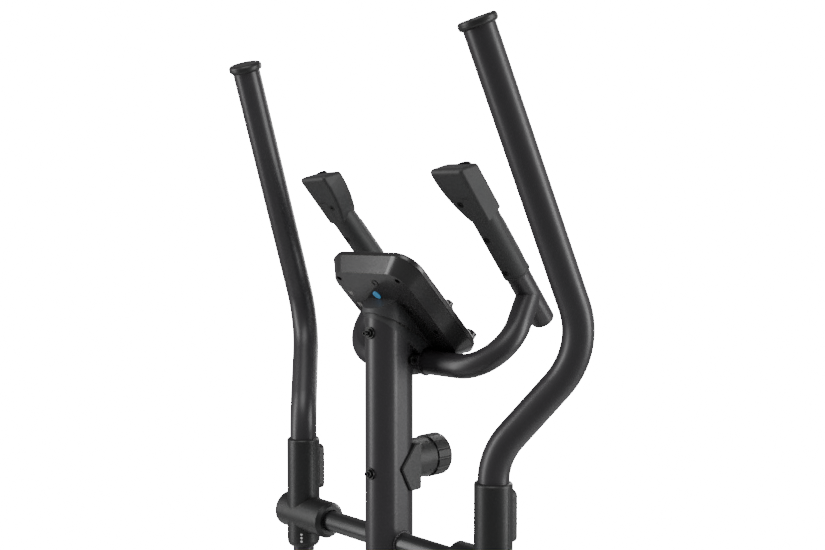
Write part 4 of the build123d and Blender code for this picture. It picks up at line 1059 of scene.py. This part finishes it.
@dataclass
class Studio:
    """Floor, lights and camera."""

    camera_offset: Vector = field(default_factory=lambda: Vector((0.9605, -0.8948, 0.4025)))
    azimuth: float = 45.7
    elevation: float = 2.47
    lens: float = 44.3
    backdrop: float = 25.0
    surround: float = 0.26
    floor_size: float = 3.2

    def camera(self) -> None:
        """Places the camera, aimed by its azimuth and elevation."""
        turn, lift = math.radians(self.azimuth), math.radians(self.elevation)
        back = Vector((math.sin(turn) * math.cos(lift), -math.cos(turn) * math.cos(lift), math.sin(lift)))
        right = Vector((math.cos(turn), math.sin(turn), 0.0))
        up = back.cross(right)
        data = bpy.data.cameras.new("camera")
        data.lens = self.lens
        data.sensor_width = 36.0
        data.clip_start = 0.02
        camera = bpy.data.objects.new("camera", data)
        bpy.context.scene.collection.objects.link(camera)
        aim = Matrix((right, up, back)).transposed().to_4x4()
        camera.matrix_world = Matrix.Translation(AXLE + self.camera_offset) @ aim
        bpy.context.scene.camera = camera

    def light(
        self, name: str, turn: float, reach: float, rise: float, size: tuple[float, float], power: float
    ) -> None:
        """Adds one soft panel of light, aimed at the swing axle.

        Args:
            name: The light's name.
            turn: Its direction round the machine, in degrees from the user's left towards the user.
            reach: How far from the mast it stands.
            rise: Its height over the axle.
            size: The panel's width and height.
            power: Its strength in watts.
        """
        data = bpy.data.lights.new(name, "AREA")
        data.shape = "RECTANGLE"
        data.size, data.size_y = size
        data.energy = power
        lamp = bpy.data.objects.new(name, data)
        angle = math.radians(turn)
        offset = Vector((math.cos(angle) * reach, math.sin(angle) * reach, rise))
        lamp.location = AXLE + offset
        lamp.rotation_mode = "QUATERNION"
        lamp.rotation_quaternion = (-offset).to_track_quat("-Z", "Y")
        bpy.context.scene.collection.objects.link(lamp)

    def world(self) -> None:
        """A plain bright surround."""
        surround = bpy.data.worlds.new("surround")
        surround.use_nodes = True
        tree = surround.node_tree
        shade = tree.nodes["Background"]
        shade.inputs["Color"].default_value = (1.0, 1.0, 1.0, 1.0)
        seen = add_node(tree, "ShaderNodeLightPath", {}, {}, "Is Camera Ray")
        strength = seen * (self.backdrop - self.surround) + self.surround
        tree.links.new(strength.out, shade.inputs["Strength"])
        bpy.context.scene.world = surround

    def floor(self) -> None:
        """A pale floor under the machine."""
        bpy.ops.object.select_all(action="DESELECT")
        bpy.ops.mesh.primitive_plane_add(size=self.floor_size, location=(0.0, 0.0, 0.0))
        floor = bpy.context.object
        floor.name = "floor"
        floor.data.materials.append(FLOOR.material())

    def build(self) -> None:
        """Sets the whole studio up."""
        self.camera()
        self.world()
        self.floor()
        self.light("key", 30.0, 2.3, 0.5, (0.7, 2.4), 48.0)
        self.light("left_strip", -127.0, 2.3, 0.5, (0.7, 2.4), 42.0)
        self.light("top", -60.0, 1.2, 2.2, (1.4, 1.4), 26.0)
        self.light("rear", 110.0, 2.6, 0.9, (1.2, 2.0), 30.0)


def main() -> None:
    """Builds the scene in order."""
    logging.basicConfig(level=logging.INFO, format="%(message)s")
    Studio().build()
    dress_cad_nodes()
    dress_all()


if __name__ == "__main__":
    main()
